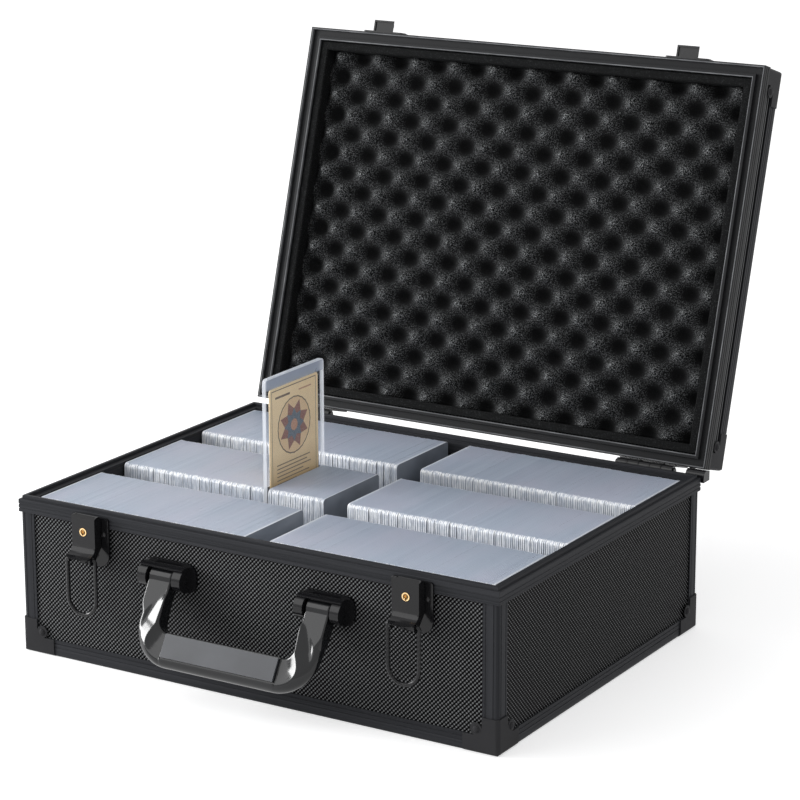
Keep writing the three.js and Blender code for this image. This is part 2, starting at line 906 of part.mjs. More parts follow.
function addHandle(group) {
  for (const [side, sign] of [['left', -1], ['right', 1]]) {
    const mount = new THREE.Group()
    mount.position.set(sign * bracketPlace, frontPlane, 0)
    add(mount, `handle_bracket_${side}`, bracket(), hardware)
    const pin = add(mount, `handle_pin_${side}`, handlePin(), hardware)
    pin.position.set(0, -handlePivotOut, handlePivotHeight)
    group.add(mount)
  }
  const handle = new THREE.Group()
  handle.position.set(0, frontPlane - handlePivotOut, handlePivotHeight)
  handle.rotation.x = -handleRest * degree
  add(handle, 'handle', handleBody(), moulded)
  add(handle, 'handle_insert', handleInsert(), moulded)
  group.add(handle)
}

// Hinges: the leaf lies against a rear face, in (y, z) from the hinge's axis
function leaf(own, upward) {
  const pitch = hingeLength / knuckles
  const start = -hingeLength / 2
  const face = -hingeOut + fit
  const low = Math.min(0, upward * leafLength)
  const high = Math.max(0, upward * leafLength)
  let body = solidOf(block(start, face, low, -start, face + leafThick, high))
  const barrels = []
  const spaces = []
  for (let i = 0; i < knuckles; i++) {
    const [from, to] = [start + i * pitch, start + (i + 1) * pitch]
    if (i % 2 === own) {
      barrels.push(crosswise(disc(0, 0, knuckleRadius), from, to))
      barrels.push(crosswise(polygon([
        [face, 0],
        [0, 0],
        [0, upward * knuckleRadius],
        [face, upward * knuckleRadius]
      ]), from, to))
    } else {
      spaces.push(crosswise(disc(0, 0, hingeOut), from - knuckleGap, to + knuckleGap))
    }
  }
  barrels.forEach((barrel) => { body = body.add(solidOf(barrel)) })
  spaces.forEach((space) => { body = body.subtract(solidOf(space)) })
  const bore = crosswise(disc(0, 0, knuckleBore, round), start - overrun, -start + overrun)
  return geometryOf(body.subtract(solidOf(bore)))
}

function hingePinBody() {
  const half = hingeLength / 2 + knuckleGap
  return joined(
    crosswise(disc(0, 0, hingePin, round), -half - hingePinHeadLength / 2, half + hingePinHeadLength / 2),
    crosswise(disc(0, 0, hingePinHead, round), half, half + hingePinHeadLength),
    crosswise(disc(0, 0, hingePinHead, round), -half - hingePinHeadLength, -half)
  )
}

function addHinges(group, lid) {
  for (const [side, sign] of [['left', -1], ['right', 1]]) {
    const place = [sign * hingePlace, hingeY, hingeHeight]
    add(group, `hinge_leaf_base_${side}`, leaf(0, -1), hardware).position.set(...place)
    add(group, `hinge_pin_${side}`, hingePinBody(), hardware).position.set(...place)
    add(lid, `hinge_leaf_lid_${side}`, leaf(1, 1), hardware).position.set(...place)
  }
}

// A stop under the open lid's rear edge, in (y, z)
function lidStop() {
  const lean = openAngle - 90
  const slope = Math.tan(lean * degree)
  const cornerRadius = Math.hypot(hingeOut, lidGap - (hingeHeight - baseHeight))
  const cornerAngle = 180 - Math.atan2(lidGap - (hingeHeight - baseHeight), hingeOut) / degree - openAngle
  const cornerY = hingeY + cornerRadius * Math.cos(cornerAngle * degree)
  const cornerZ = hingeHeight + cornerRadius * Math.sin(cornerAngle * degree)
  const back = caseDepth / 2 + stopDeep
  const shape = polygon([
    [caseDepth / 2 + fit, baseHeight - stopDrop],
    [back, baseHeight - stopDrop],
    [back, cornerZ - (back - cornerY) * slope - boreEase],
    ...arc(hingeY, hingeHeight, stopRadius, cornerAngle, 180),
    [caseDepth / 2 + fit, hingeHeight]
  ])
  const from = caseWidth / 2 - stopInset
  return crosswise(shape, from, from + stopLength)
}

// Lid, drawn closed
function lidRim() {
  const top = lidBottom + collarHeight
  const channel = top - collarChannel
  return mitredFrame([
    ...flutedFace(0, lidBottom, top, collarShares),
    [panelInset - fit, top],
    [panelInset - fit, channel],
    [panelBack + fit, channel],
    [panelBack + fit, top],
    [collarDepth, top],
    [collarDepth, lidBottom + innerLipDrop],
    [grooveEnd, lidBottom + innerLipDrop],
    [grooveEnd, lidBottom + grooveDepth],
    [grooveInset, lidBottom + grooveDepth],
    [grooveInset, lidBottom]
  ], caseWidth, lidDepth, lidMiddle)
}

function lidEdgeFrame() {
  const section = railSection().map(([inset, height]) => [inset, lidTop - height]).reverse()
  const ring = mitredFrame(section, caseWidth, lidDepth, lidMiddle)
  const low = lidTop - railHeight
  const rounded = roundedCorners(ring, frameInset, lidMiddle, lidDepth, low, lidTop)
  return cut(rounded, ...lidSeats())
}

function lidBand() {
  const low = lidBottom + collarHeight - collarChannel + fit
  const high = lidTop - coreHeight - fit
  return mitredFrame([
    [panelInset, low],
    [panelInset, high],
    [panelBack, high],
    [panelBack, low]
  ], caseWidth, lidDepth, lidMiddle)
}

function lidCover() {
  const halfX = caseWidth / 2 - coreInset - fit
  const halfY = lidDepth / 2 - coreInset - fit
  const plate = block(-halfX, lidMiddle - halfY, lidTop - panelThick, halfX, lidMiddle + halfY, lidTop)
  return cut(plate, ...lidSeats())
}

// The places of bumps and hollows along one side of the foam, with its two ends
function bumpPlaces(from, to, at, pitch) {
  const places = [from]
  for (let k = Math.ceil((from - at) / pitch); at + k * pitch < to; k++) {
    places.push(at + k * pitch)
  }
  return [...places, to]
}

// Bumps and hollows in a staggered grid: a point at each, and one halfway between four
function bumpField(left, front, right, back, high) {
  const across = bumpPlaces(left, right, bumpX, bumpPitchX)
  const along = bumpPlaces(front, back, bumpY, bumpPitchY)
  const half = (foamHollowDepth - foamPeakDepth) / 2
  const depth = (x, y) =>
    Math.cos(((x - bumpX) / bumpPitchX) * Math.PI) * Math.cos(((y - bumpY) / bumpPitchY) * Math.PI)
  const points = []
  const index = []
  const put = (...point) => points.push(point) - 1
  const face = (x, y) => put(x, y, lidBottom + foamPeakDepth + half * (1 - depth(x, y)))
  const grid = along.map((y) => across.map((x) => face(x, y)))
  for (let j = 0; j < along.length - 1; j++) {
    for (let i = 0; i < across.length - 1; i++) {
      const middle = face((across[i] + across[i + 1]) / 2, (along[j] + along[j + 1]) / 2)
      const cell = [grid[j][i], grid[j + 1][i], grid[j + 1][i + 1], grid[j][i + 1]]
      cell.forEach((corner, k) => index.push(corner, cell[(k + 1) % cell.length], middle))
    }
  }
  const edge = [
    ...grid[0],
    ...grid.slice(1).map((row) => row.at(-1)),
    ...grid.at(-1).slice(0, -1).reverse(),
    ...grid.slice(1, -1).map((row) => row[0]).reverse()
  ]
  const rear = edge.map((corner) => put(points[corner][0], points[corner][1], high))
  const centre = put((left + right) / 2, (front + back) / 2, high)
  edge.forEach((corner, k) => {
    const next = (k + 1) % edge.length
    index.push(corner, edge[next], rear[next], corner, rear[next], rear[k])
    index.push(rear[k], rear[next], centre)
  })
  const geometry = new THREE.BufferGeometry()
  geometry.setAttribute('position', new THREE.Float32BufferAttribute(points.flat(), 3))
  geometry.setIndex(index)
  return geometry
}

function lidFoam() {
  const halfX = caseWidth / 2 - lidFoamInset
  const halfY = lidDepth / 2 - lidFoamInset
  const [low, high] = [lidBottom + foamEdgeDepth, lidTop - panelThick - fit]
  const [bumpHalfX, bumpHalfY] = [halfX - foamEdgeWidth, halfY - foamEdgeWidth]
  const [front, back] = [lidMiddle - bumpHalfY, lidMiddle + bumpHalfY]
  return joined(
    mitredFrame([
      [lidFoamInset, low],
      [lidFoamInset, high],
      [lidFoamInset + foamEdgeWidth, high],
      [lidFoamInset + foamEdgeWidth, low]
    ], caseWidth, lidDepth, lidMiddle),
    bumpField(-bumpHalfX, front, bumpHalfX, back, high)
  )
}

// The hasp: a hook inside the loop of the latched wire, with a nose that the wire drops behind
function hasp() {
  const z = (height) => lidBottom + height
  const lean = (latchedAngle - 180) * degree
  const loopHeight = baseHeight + bailPivotHeight + (bailLength - bailHalf) * Math.cos(lean)
  const wireHeight = baseHeight + bailPivotHeight + bailLength * Math.cos(lean)
  const wireOut = bailPivotOut - bailLength * Math.sin(lean) - lidOverhang
  const inside = bailHalf - bailWire - haspEase
  const top = wireHeight - bailWire - haspEase * 2
  const from = Math.asin((z(haspLow) - loopHeight) / inside) / degree
  const to = Math.asin((top - loopHeight) / inside) / degree
  const solidHook = facing(polygon([
    ...arc(0, loopHeight, inside, from, to),
    ...arc(0, loopHeight, inside, 180 - to, 180 - from)
  ]), fit, haspReach)
  const recessHalf = inside * Math.cos(from * degree) - haspWall
  const recess = block(
    -recessHalf, haspWall - haspReach, z(0), recessHalf, -fit - haspPlateThick, z(haspLow + haspRecess))
  const hook = cut(solidHook, recess)
  const back = wireOut + bailWire + noseEase
  const nose = profile(polygon([
    [back, z(noseFoot)],
    [haspReach, z(noseFoot)],
    ...arc(haspReach - noseRound, wireHeight - noseRound, noseRound, 0, 90, round / 2),
    [back + haspEase, wireHeight],
    [back, wireHeight - haspEase]
  ]), -noseHalf, noseHalf)
  const plate = facing(
    roundedRect(-haspPlateHalf, z(haspPlateLow), haspPlateHalf, z(haspPlateHigh), plateTopRound),
    fit,
    fit + haspPlateThick
  )
  const front = fit + haspPlateThick
  const rivetAt = (inside + haspPlateHalf) / 2
  const domes = [-rivetAt, rivetAt].map((x) =>
    dome(plateRivetRadius, plateRivetDome, haspPlateThick / 2)
      .rotateX(Math.PI)
      .translate(x, -front, z((haspPlateLow + haspPlateHigh) / 2)))
  return joined(plate, hook, nose, ...domes)
}

function addLid(group) {
  const hinge = new THREE.Group()
  hinge.position.set(0, hingeY, hingeHeight)
  hinge.rotation.x = -openAngle * degree
  const lid = new THREE.Group()
  lid.position.set(0, -hingeY, -hingeHeight)
  hinge.add(lid)
  add(lid, 'lid_rim', lidRim(), extrusion)
  add(lid, 'lid_side_band', lidBand(), knurled)
  add(lid, 'lid_edge_frame', lidEdgeFrame(), extrusion)
  add(lid, 'lid_cover', lidCover(), knurled)
  add(lid, 'lid_foam', lidFoam(), foam)
  for (const corner of cornerSigns) {
    const geometry = guard(corner, lidMiddle, lidDepth, lidTop, -1, lidGuardRise)
    add(lid, `lid_guard_${corner[0]}`, geometry, hardware)
  }
  for (const [side, sign] of [['left', -1], ['right', 1]]) {
    const catchPlate = add(lid, `hasp_${side}`, hasp(), hardware)
    catchPlate.position.set(sign * latchPlace, lidMiddle - lidDepth / 2, 0)
  }
  group.add(hinge)
  return lid
}

const cardCase = new THREE.Group()
addBaseFrame(cardCase)
addPanels(cardCase)
addFoam(cardCase)
addRows(cardCase)
addRaisedSleeve(cardCase)
addBaseGuards(cardCase)
addLatch(cardCase, 'left', -latchPlace)
addLatch(cardCase, 'right', latchPlace)
addHandle(cardCase)
const lid = addLid(cardCase)
addHinges(cardCase, lid)
add(cardCase, 'lid_stop', lidStop(), hardware)

export default cardCase
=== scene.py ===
"""A lidded carry case for sleeved cards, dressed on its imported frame. Metres, in the frame's own axes."""

import json
import math
import random

import bmesh
import bpy
from mathutils import Matrix, Vector


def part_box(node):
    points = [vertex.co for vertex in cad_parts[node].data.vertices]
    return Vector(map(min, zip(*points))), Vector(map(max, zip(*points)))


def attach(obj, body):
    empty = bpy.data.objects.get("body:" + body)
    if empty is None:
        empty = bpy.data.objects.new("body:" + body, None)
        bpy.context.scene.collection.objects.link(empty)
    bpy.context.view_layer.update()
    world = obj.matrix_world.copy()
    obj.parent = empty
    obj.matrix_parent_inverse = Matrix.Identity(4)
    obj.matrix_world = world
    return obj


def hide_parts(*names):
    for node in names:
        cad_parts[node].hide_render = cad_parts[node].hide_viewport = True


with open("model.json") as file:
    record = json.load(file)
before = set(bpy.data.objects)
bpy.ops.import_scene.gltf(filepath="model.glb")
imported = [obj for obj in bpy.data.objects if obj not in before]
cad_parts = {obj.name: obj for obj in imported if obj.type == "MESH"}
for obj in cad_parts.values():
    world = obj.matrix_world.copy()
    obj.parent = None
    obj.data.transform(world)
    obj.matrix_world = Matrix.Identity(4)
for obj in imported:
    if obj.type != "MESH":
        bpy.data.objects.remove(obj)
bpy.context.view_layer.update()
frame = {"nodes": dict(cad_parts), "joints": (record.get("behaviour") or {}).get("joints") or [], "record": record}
nodes = frame["nodes"]
mm = 0.001
rng = random.Random(7)

# Camera: the photograph's own place, direction and lens
CAMERA_PLACE = Vector((1.06618, -1.68365, 0.72786))
AZIMUTH = math.radians(31.577)
ELEVATION = math.radians(15.354)
ROLL = math.radians(-0.157)
FOCAL_PIXELS = 2888.24
FRAME_PIXELS = 800

# Knurled sheet: its lines' pitch across and up, and their depth. For each way that a sheet faces: the share
# of its cross lines, the heights between which lines turn from painted shade to painted highlight, and how pale it
# gets
KNURL_PITCH = (3.13 * mm, 3.23 * mm)
KNURL_DEPTH = 0.5 * mm
KNURL_CROSS = {"front": 0.7, "flat": 0.7, "side": 0.2}
KNURL_LIT = {"front": (-0.05, 1.15), "flat": (-0.05, 1.15), "side": (0.75, 1.15)}
KNURL_HIGHLIGHT = {"front": 0.155, "flat": 0.155, "side": 0.25}

# Painted highlights on the lid's rim, along its lips: place inward from its outside, and half width. The depth
# that counts as face
RIM_LIPS = ((1.3 * mm, 0.45 * mm), (9.3 * mm, 0.5 * mm))
RIM_FACE = 2.2 * mm

# A lock's face, in shares of its radius: the reach and half width of its ring of painted shade, and half the
# keyway's sides, also painted as shade
RING_SHARES = (0.6, 0.08)
KEYWAY_SHARES = (0.14, 0.42)

# Foam's open cells: the scale, detail and roughness of their noise
FOAM_CELLS = (1150, 4, 0.75)

# Lid foam: from a bump to the hollow beside it, a bump's place, its height, and how much more pointed than
# a plain wave it is; the step of its mesh; and its flat border
BUMP_X = 17.35 * mm
BUMP_Y = 15.2 * mm
BUMP_AT = Vector((2.7, -98.9)) * mm
BUMP_TALL = 14 * mm
BUMP_POINT = 0.06
FOAM_STEP = 1.9 * mm
BORDER_WIDE = 6.5 * mm
BORDER_RISE = 3.5 * mm
BORDER_ROUND = 0.8 * mm

# Foam in the base: the room left beside each piece, and how round its edges are
LINING_EASE = 0.1 * mm
LINING_ROUND = 0.6 * mm
FLOOR_EASE = 0.2 * mm
FLOOR_ROUND = 0.5 * mm
DIVIDER_EASE = 0.4 * mm
DIVIDER_ROUND = 0.8 * mm

# Rigid sleeves in their rows, each with a front and a back wall
SLEEVE_PITCH = 3 * mm
WALL_GAP = 0.05 * mm
WALL_BEVEL = 0.25 * mm
SLEEVE_CORNER = 3 * mm
SLEEVE_SHIFT = 0.3 * mm
SLEEVE_DROP = 0.12 * mm
WALL_SHIFT = 0.2 * mm
WALL_DROP = 0.06 * mm
CORNER_STEPS = 4

# Where a row is painted pale as highlight, in shares of its size: out from its middle towards the sleeves' ends
# and towards the first and last sleeve, and up from its foot towards the fringe along the ends' tops
END_SHARES = (0.458, 0.48)
LAST_SHARES = (0.487, 0.494)
FRINGE_SHARES = (0.955, 0.985)

# Welded rim of the clear sleeve, whole and where it is fully pale, and the step to haze above the card
CLEAR_RIM = 1.1 * mm
CLEAR_RIM_PALE = 0.77 * mm
HAZE_STEP = 0.4 * mm

# The raised card: where it starts to turn darker and browner towards its foot and where it is fully so, in shares
# of its height, how far its print stands off it, and its inks
BROWN_SHARES = (0.45, 0.2)
PRINT_LIFT = 0.03 * mm
INKS = {
    "brown": (0.3, 0.14, 0.11), "slate": (0.14, 0.18, 0.22), "rust": (0.55, 0.3, 0.2),
    "line": (0.17, 0.12, 0.085), "tan": (0.8, 0.58, 0.34),
}

# The print's places and sizes, in shares of the card's width and height. Bars stand in for its text
BORDER_SHARE = 0.045
LINE_SHARE = 0.008
ROSETTE_SHARES = (0.5, 0.63)
TEXT_LEFT_SHARE = 0.14
TEXT_HIGH_SHARE = 0.33
TEXT_STEP_SHARE = 0.032
TEXT_LINE_SHARE = 0.009
TEXT_SHARES = (0.68, 0.62, 0.7, 0.54, 0.66, 0.4)

# More bars: left, low, long, thick and ink. The rosette's layers: outer and inner reach, points, degrees of
# turn and ink
BAR_SHARES = [
    (0.12, 0.9, 0.3, 0.018, "line"), (0.6, 0.905, 0.26, 0.012, "rust"),
    (0.14, 0.09, 0.16, 0.02, "line"), (0.62, 0.09, 0.24, 0.02, "brown"),
]
LAYER_SHARES = [
    (0.34, 0.335, 24, 0, "line"), (0.325, 0.32, 24, 0, "tan"), (0.3, 0.19, 8, 22.5, "brown"),
    (0.2, 0.13, 8, 0, "slate"), (0.07, 0.068, 12, 0, "rust"),
]

# Edges rounded off: the least angle, in degrees, on new pieces and on copies of the frame's nodes, and the
# copies' widths by material slot. What a copy joins first: points this close, triangles this near to flat
PIECE_ANGLE = 40
NODE_ANGLE = 32
EDGE_WIDTHS = {"hardware": 0.25 * mm, "brass": 0.15 * mm, "extrusion": 0.3 * mm}
INSERT_EDGE = 0.4 * mm
MERGE_REACH = 0.001 * mm
FLAT_ANGLE = 1

# Handle, in its own plane: along the front, out of the front, and up its arms from the pivot
HANDLE_TILT = math.radians(30)
ARM_OUTER = 74.15 * mm
ARM_INNER = 55.35 * mm
ARM_EYE = 6.6 * mm
ARM_HALF = 5.5 * mm
ARM_START = -3.6 * mm
GRIP_HIGH = -37.5 * mm
GRIP_LOW = -61.5 * mm
GRIP_HALF = 7 * mm
GRIP_OUTER_ROUND = 30 * mm
GRIP_INNER_ROUND = 8 * mm
GRIP_BLEND = 14 * mm
GRIP_BLEND_END = 6 * mm
EDGE_ROUND = 1.2 * mm
LEAST_ROUND = 0.01 * mm
LEAST_HALF = 0.02 * mm
PIN_BORE = 2.1 * mm

# Sections of the handle: their heights round the pivot, in millimetres, and how many there are down an arm,
# round a bend and along half the grip, and the steps across each
EYE_HEIGHTS = (6.59, 6.45, 6, 5, 3.6, 1.8, 0, -1.8)
ARM_STEPS = 60
TURN_STEPS = 90
GRIP_STEPS = 24
SECTION_STEPS = 64

# Crescents round the handle's bends, and the scoops beside them in the grip
RIDGE_RISE = 7 * mm
OUTER_RISE = 1.6 * mm
OUTER_SLOPE = 0.26
ARM_BLEND = 6 * mm
CRESCENT_START = -10 * mm
SCOOP_REACH = 13 * mm
SCOOP_DEEP = 2.2 * mm
SCOOP_EASE = 0.5 * mm

# Their ridge, and the line where the flat arm ends, in millimetres along the front and up
RIDGE = [
    (55.2, -14), (55.8, -20), (56.4, -27), (57.4, -33), (59.8, -38), (61.6, -43),
    (61.4, -48), (58.9, -53), (54.6, -57), (49.5, -60), (45.5, -62),
]
ARM_END = [(54.9, -8.5), (60, -12), (65, -18), (69.5, -25), (72.3, -32), (75, -40)]

# The insert's pocket in the grip
INSERT_HALF = 47.4 * mm
INSERT_HIGH = -38.1 * mm
INSERT_LOW = -56.4 * mm
INSERT_FLOOR = 5.4 * mm

# World: the ends of an even change across it, each as how far right a direction points and how brightly the
# world lights from there, and how bright the background looks
FILL_RIGHT = (0.6, 0.78)
FILL_LEFT = (-0.8, 0.7)
BACKGROUND = 1.0

# Floor: half its width in metres, and the glow that lifts its white
FLOOR_HALF = 12
FLOOR_GLOW = 0.5


# The lid's own frame: as it lies when closed
lid_joint = next(j for j in frame["joints"] if j["name"] == "lid_hinge")
hinge = Vector(lid_joint["pos_m"])
closing = math.radians(lid_joint["range_deg"][1])
closes = (
    Matrix.Translation(hinge)
    @ Matrix.Rotation(closing, 4, Vector(lid_joint["axis"]))
    @ Matrix.Translation(-hinge)
)
opens = closes.inverted()


def lid_box(node):
    """The lowest and highest corner of a lid node, with the lid closed."""
    points = [closes @ v.co for v in nodes[node].data.vertices]
    return (
        Vector(min(p[i] for p in points) for i in range(3)),
        Vector(max(p[i] for p in points) for i in range(3)),
    )


# Materials
class Surface:
    """A procedural material whose Principled shader is fed by a few nodes."""

    def __init__(self, name, color, rough, **values):
        self.material = bpy.data.materials.new(name)
        self.material.use_nodes = True
        self.tree = self.material.node_tree
        self.shader = self.tree.nodes["Principled BSDF"]
        self.color = color
        self.set("Base Color", (*color, 1))
        self.set("Roughness", rough)
        for label, value in values.items():
            self.set(label.replace("_", " "), value)

    def set(self, label, value):
        self.shader.inputs[label].default_value = value

    def add(self, kind, inputs=None, **settings):
        """A new node, with its settings and with values or other nodes' outputs in its inputs."""
        node = self.tree.nodes.new(kind)
        for key, value in settings.items():
            setattr(node, key, value)
        for key, value in (inputs or {}).items():
            self.feed(node.inputs[key], value)
        return node

    def feed(self, socket, value):
        if isinstance(value, bpy.types.NodeSocket):
            self.tree.links.new(value, socket)
        else:
            socket.default_value = value

    def math(self, operation, a, b=0.0):
        return self.add("ShaderNodeMath", {0: a, 1: b}, operation=operation).outputs[0]

    def off(self, value, middle):
        """How far a value is from a middle."""
        return self.math("ABSOLUTE", self.math("SUBTRACT", value, middle))

    def within(self, value, middle, reach):
        """1 where a value is less than a reach from a middle, and 0 elsewhere."""
        return self.math("LESS_THAN", self.off(value, middle), reach)

    def parts(self, at):
        """A place's x, y and z."""
        return self.add("ShaderNodeSeparateXYZ", {0: at}).outputs

    def place(self, closed=False):
        """Object coordinates, turned with the lid to where it lies closed if asked."""
        at = self.add("ShaderNodeTexCoord").outputs["Object"]
        if not closed:
            return at
        turned = self.add(
            "ShaderNodeVectorRotate",
            {"Vector": at, "Center": hinge, "Axis": lid_joint["axis"], "Angle": closing},
            rotation_type="AXIS_ANGLE",
        )
        return turned.outputs[0]

    def stretched(self, at, x, y, z):
        """A place with each of its parts times a scale."""
        return self.add("ShaderNodeMapping", {"Vector": at, "Scale": (x, y, z)}).outputs[0]

    def noise(self, at, scale, detail=2.0, rough=0.5):
        node = self.add(
            "ShaderNodeTexNoise",
            {"Vector": at, "Scale": scale, "Detail": detail, "Roughness": rough},
        )
        return node.outputs["Fac"]

    def spread(self, value, low, high, to_low=0.0, to_high=1.0):
        """The value's place between low and high, kept within the other two."""
        node = self.add(
            "ShaderNodeMapRange",
            {"Value": value, "From Min": low, "From Max": high, "To Min": to_low, "To Max": to_high},
        )
        return node.outputs[0]

    def vary(self, noise, first=0.0, second=1.0):
        """Noise, most of which lies from 0.3 to 0.7, turned into values from first to second."""
        return self.spread(noise, 0.3, 0.7, first, second)

    def mix(self, share, first, second):
        """The first colour where the share is 0, and the second where it is 1."""
        node = self.add("ShaderNodeMix", {0: share}, data_type="RGBA")
        for index, color in ((6, first), (7, second)):
            self.feed(node.inputs[index], color if isinstance(color, bpy.types.NodeSocket) else (*color, 1))
        return node.outputs[2]

    def tint(self, value):
        self.feed(self.shader.inputs["Base Color"], value)

    def roughen(self, value):
        self.feed(self.shader.inputs["Roughness"], value)

    def bump(self, height, distance, strength=1.0):
        node = self.add(
            "ShaderNodeBump", {"Height": height, "Distance": distance, "Strength": strength}
        )
        self.feed(self.shader.inputs["Normal"], node.outputs[0])


def grained(surface, at, scale, depth, low, high):
    """Fine grain in colour, gloss and height, as coated metal and moulded plastic have."""
    grain = surface.noise(at, scale, 3)
    broad = surface.noise(at, scale / 40)
    dark, pale = ([c * share for c in surface.color] for share in (0.88, 1.12))
    surface.tint(surface.mix(surface.vary(broad), dark, pale))
    surface.roughen(surface.vary(grain, low, high))
    surface.bump(grain, depth)
    return surface.material


def extrusion_material(name, closed=False, upright=False):
    """Satin coated aluminium, with the faint lines of its die along every bar."""
    surface = Surface(name, (0.029, 0.03, 0.033), 0.42, Specular_IOR_Level=0.05)
    at = surface.place(closed)
    across = (900, 900, 4) if upright else (4, 4, 900)
    lines = surface.noise(surface.stretched(at, *across), 1)
    grain = surface.noise(at, 1800)
    tone = surface.spread(lines, 0.35, 0.65)
    surface.tint(surface.mix(tone, (0.023, 0.024, 0.027), (0.035, 0.036, 0.04)))
    surface.roughen(surface.vary(grain, 0.34, 0.5))
    surface.bump(grain, 0.02 * mm)
    return surface.material


def rim_material():
    """The lid's rim: pale lips, painted as highlight, on both sides of its dark groove."""
    surface = Surface("lid_rim_satin", (0.034, 0.035, 0.038), 0.36, Specular_IOR_Level=0.1)
    at = surface.place(closed=True)
    low, high = lid_box("lid_rim")
    parts = surface.parts(at)
    insets = []
    for i in (0, 1):
        middle, half = (low[i] + high[i]) / 2, (high[i] - low[i]) / 2
        insets.append(surface.math("SUBTRACT", half, surface.off(parts[i], middle)))
    inset = surface.math("MINIMUM", *insets)
    # Painted highlight: pale bands along the lips stand for light caught on their edges, mottled by noise.
    lips = [surface.within(inset, place, reach) for place, reach in RIM_LIPS]
    at_face = surface.math("LESS_THAN", parts[2], low.z + RIM_FACE)
    lip = surface.math("MULTIPLY", surface.math("ADD", *lips), at_face)
    highlight_mottle = surface.noise(at, 60)
    pale = surface.mix(surface.vary(highlight_mottle), (0.085, 0.087, 0.092), (0.17, 0.174, 0.181))
    grain = surface.noise(at, 1800)
    tone = surface.mix(surface.vary(grain), (0.012, 0.0125, 0.0135), (0.019, 0.0195, 0.021))
    surface.tint(surface.mix(lip, tone, pale))
    surface.roughen(surface.vary(grain, 0.3, 0.45))
    surface.bump(grain, 0.02 * mm)
    return surface.material


def knurl_material(name, facing, closed=False):
    """A sheet with raised lines along one diagonal, notched by fainter ones along the other, with painted
    highlight on the lines and painted shade between them.
    """
    surface = Surface(name, (0.02, 0.021, 0.023), 0.45, Specular_IOR_Level=0.03)
    at = surface.place(closed)
    parts = surface.parts(at)
    across = parts[1] if facing == "side" else parts[0]
    up = parts[1] if facing == "flat" else parts[2]
    pitch_across, pitch_up = KNURL_PITCH
    lean = 1 if facing == "side" else -1
    across = surface.math("MULTIPLY", across, 2 * math.pi / pitch_across)
    waves = []
    for sign in (lean, -lean):
        turn = surface.math("ADD", across, surface.math("MULTIPLY", up, sign * 2 * math.pi / pitch_up))
        waves.append(surface.math("COSINE", turn))
    height = surface.math("ADD", waves[0], surface.math("MULTIPLY", waves[1], KNURL_CROSS[facing]))
    # Painted light: the ridges turn pale as highlight and the pits near black as shade, paler still on the side
    # panels.
    ridge = surface.spread(height, *KNURL_LIT[facing])
    pale = [KNURL_HIGHLIGHT[facing] * share for share in (1, 1.02, 1.05)]
    surface.tint(surface.mix(ridge, (0.0004, 0.0004, 0.0005), pale))
    grain = surface.noise(at, 900)
    surface.roughen(surface.vary(grain, 0.38, 0.55))
    surface.bump(ridge, KNURL_DEPTH, 0.6)
    return surface.material


def hardware_material():
    """Black gloss coating over pressed steel."""
    surface = Surface("hardware_gloss", (0.006, 0.006, 0.007), 0.2, Specular_IOR_Level=0.3)
    return grained(surface, surface.place(), 700, 0.003 * mm, 0.12, 0.22)


def guard_material():
    """The guards' satin black coating."""
    surface = Surface("guard_satin", (0.033, 0.033, 0.035), 0.42, Specular_IOR_Level=0.03)
    return grained(surface, surface.place(), 900, 0.02 * mm, 0.33, 0.46)


def brass_material(node):
    """A lock's polished brass, with painted shade for the gap round its plug and for its keyway."""
    surface = Surface(f"{node}_brass", (0.86, 0.6, 0.3), 0.25, Metallic=1.0)
    at = surface.place()
    low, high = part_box(node)
    middle, radius = (low + high) / 2, (high.x - low.x) / 2
    parts = surface.parts(at)
    x = surface.math("DIVIDE", surface.math("SUBTRACT", parts[0], middle.x), radius)
    z = surface.math("DIVIDE", surface.math("SUBTRACT", parts[2], middle.z), radius)
    squares = [surface.math("MULTIPLY", v, v) for v in (x, z)]
    reach = surface.math("SQRT", surface.math("ADD", *squares))
    keyway = [surface.within(v, 0, half) for v, half in zip((x, z), KEYWAY_SHARES)]
    # Painted shade: the ring round the plug and the keyway are coloured near black for the shade inside them.
    dark = surface.math("MAXIMUM", surface.within(reach, *RING_SHARES), surface.math("MULTIPLY", *keyway))
    grain = surface.noise(at, 1500, 3)
    tone = surface.mix(surface.vary(grain), (0.78, 0.53, 0.26), (0.93, 0.68, 0.36))
    surface.tint(surface.mix(dark, tone, (0.02, 0.014, 0.01)))
    surface.roughen(surface.vary(grain, 0.18, 0.32))
    surface.bump(grain, 0.01 * mm)
    return surface.material


def moulded_material():
    """The handle's semi-gloss moulded plastic."""
    surface = Surface("handle_moulding", (0.007, 0.0075, 0.0085), 0.14, Specular_IOR_Level=0.4)
    return grained(surface, surface.place(), 300, 0.0003 * mm, 0.11, 0.16)


def insert_material():
    """The grip insert's satin grey plastic."""
    surface = Surface("handle_insert_satin", (0.05, 0.053, 0.06), 0.4, Specular_IOR_Level=0.4)
    return grained(surface, surface.place(), 1400, 0.02 * mm, 0.36, 0.5)


def foam_cells(surface, at, lit):
    """Open cells: black, with pale speckles where their walls catch the light."""
    cells = surface.noise(at, *FOAM_CELLS)
    surface.tint(surface.mix(surface.spread(cells, 0.5, 0.63), (0.006, 0.0063, 0.0065), lit))
    surface.bump(cells, 0.9 * mm, 0.7)
    return surface.material


def foam_material():
    """The base's foam, with its speckles in uneven patches."""
    surface = Surface("foam_cells", (0.02, 0.021, 0.022), 0.95, Specular_IOR_Level=0.05)
    at = surface.place()
    patches = surface.spread(surface.noise(at, 55), 0.35, 0.65)
    return foam_cells(surface, at, surface.mix(patches, (0.1, 0.104, 0.107), (0.17, 0.175, 0.18)))


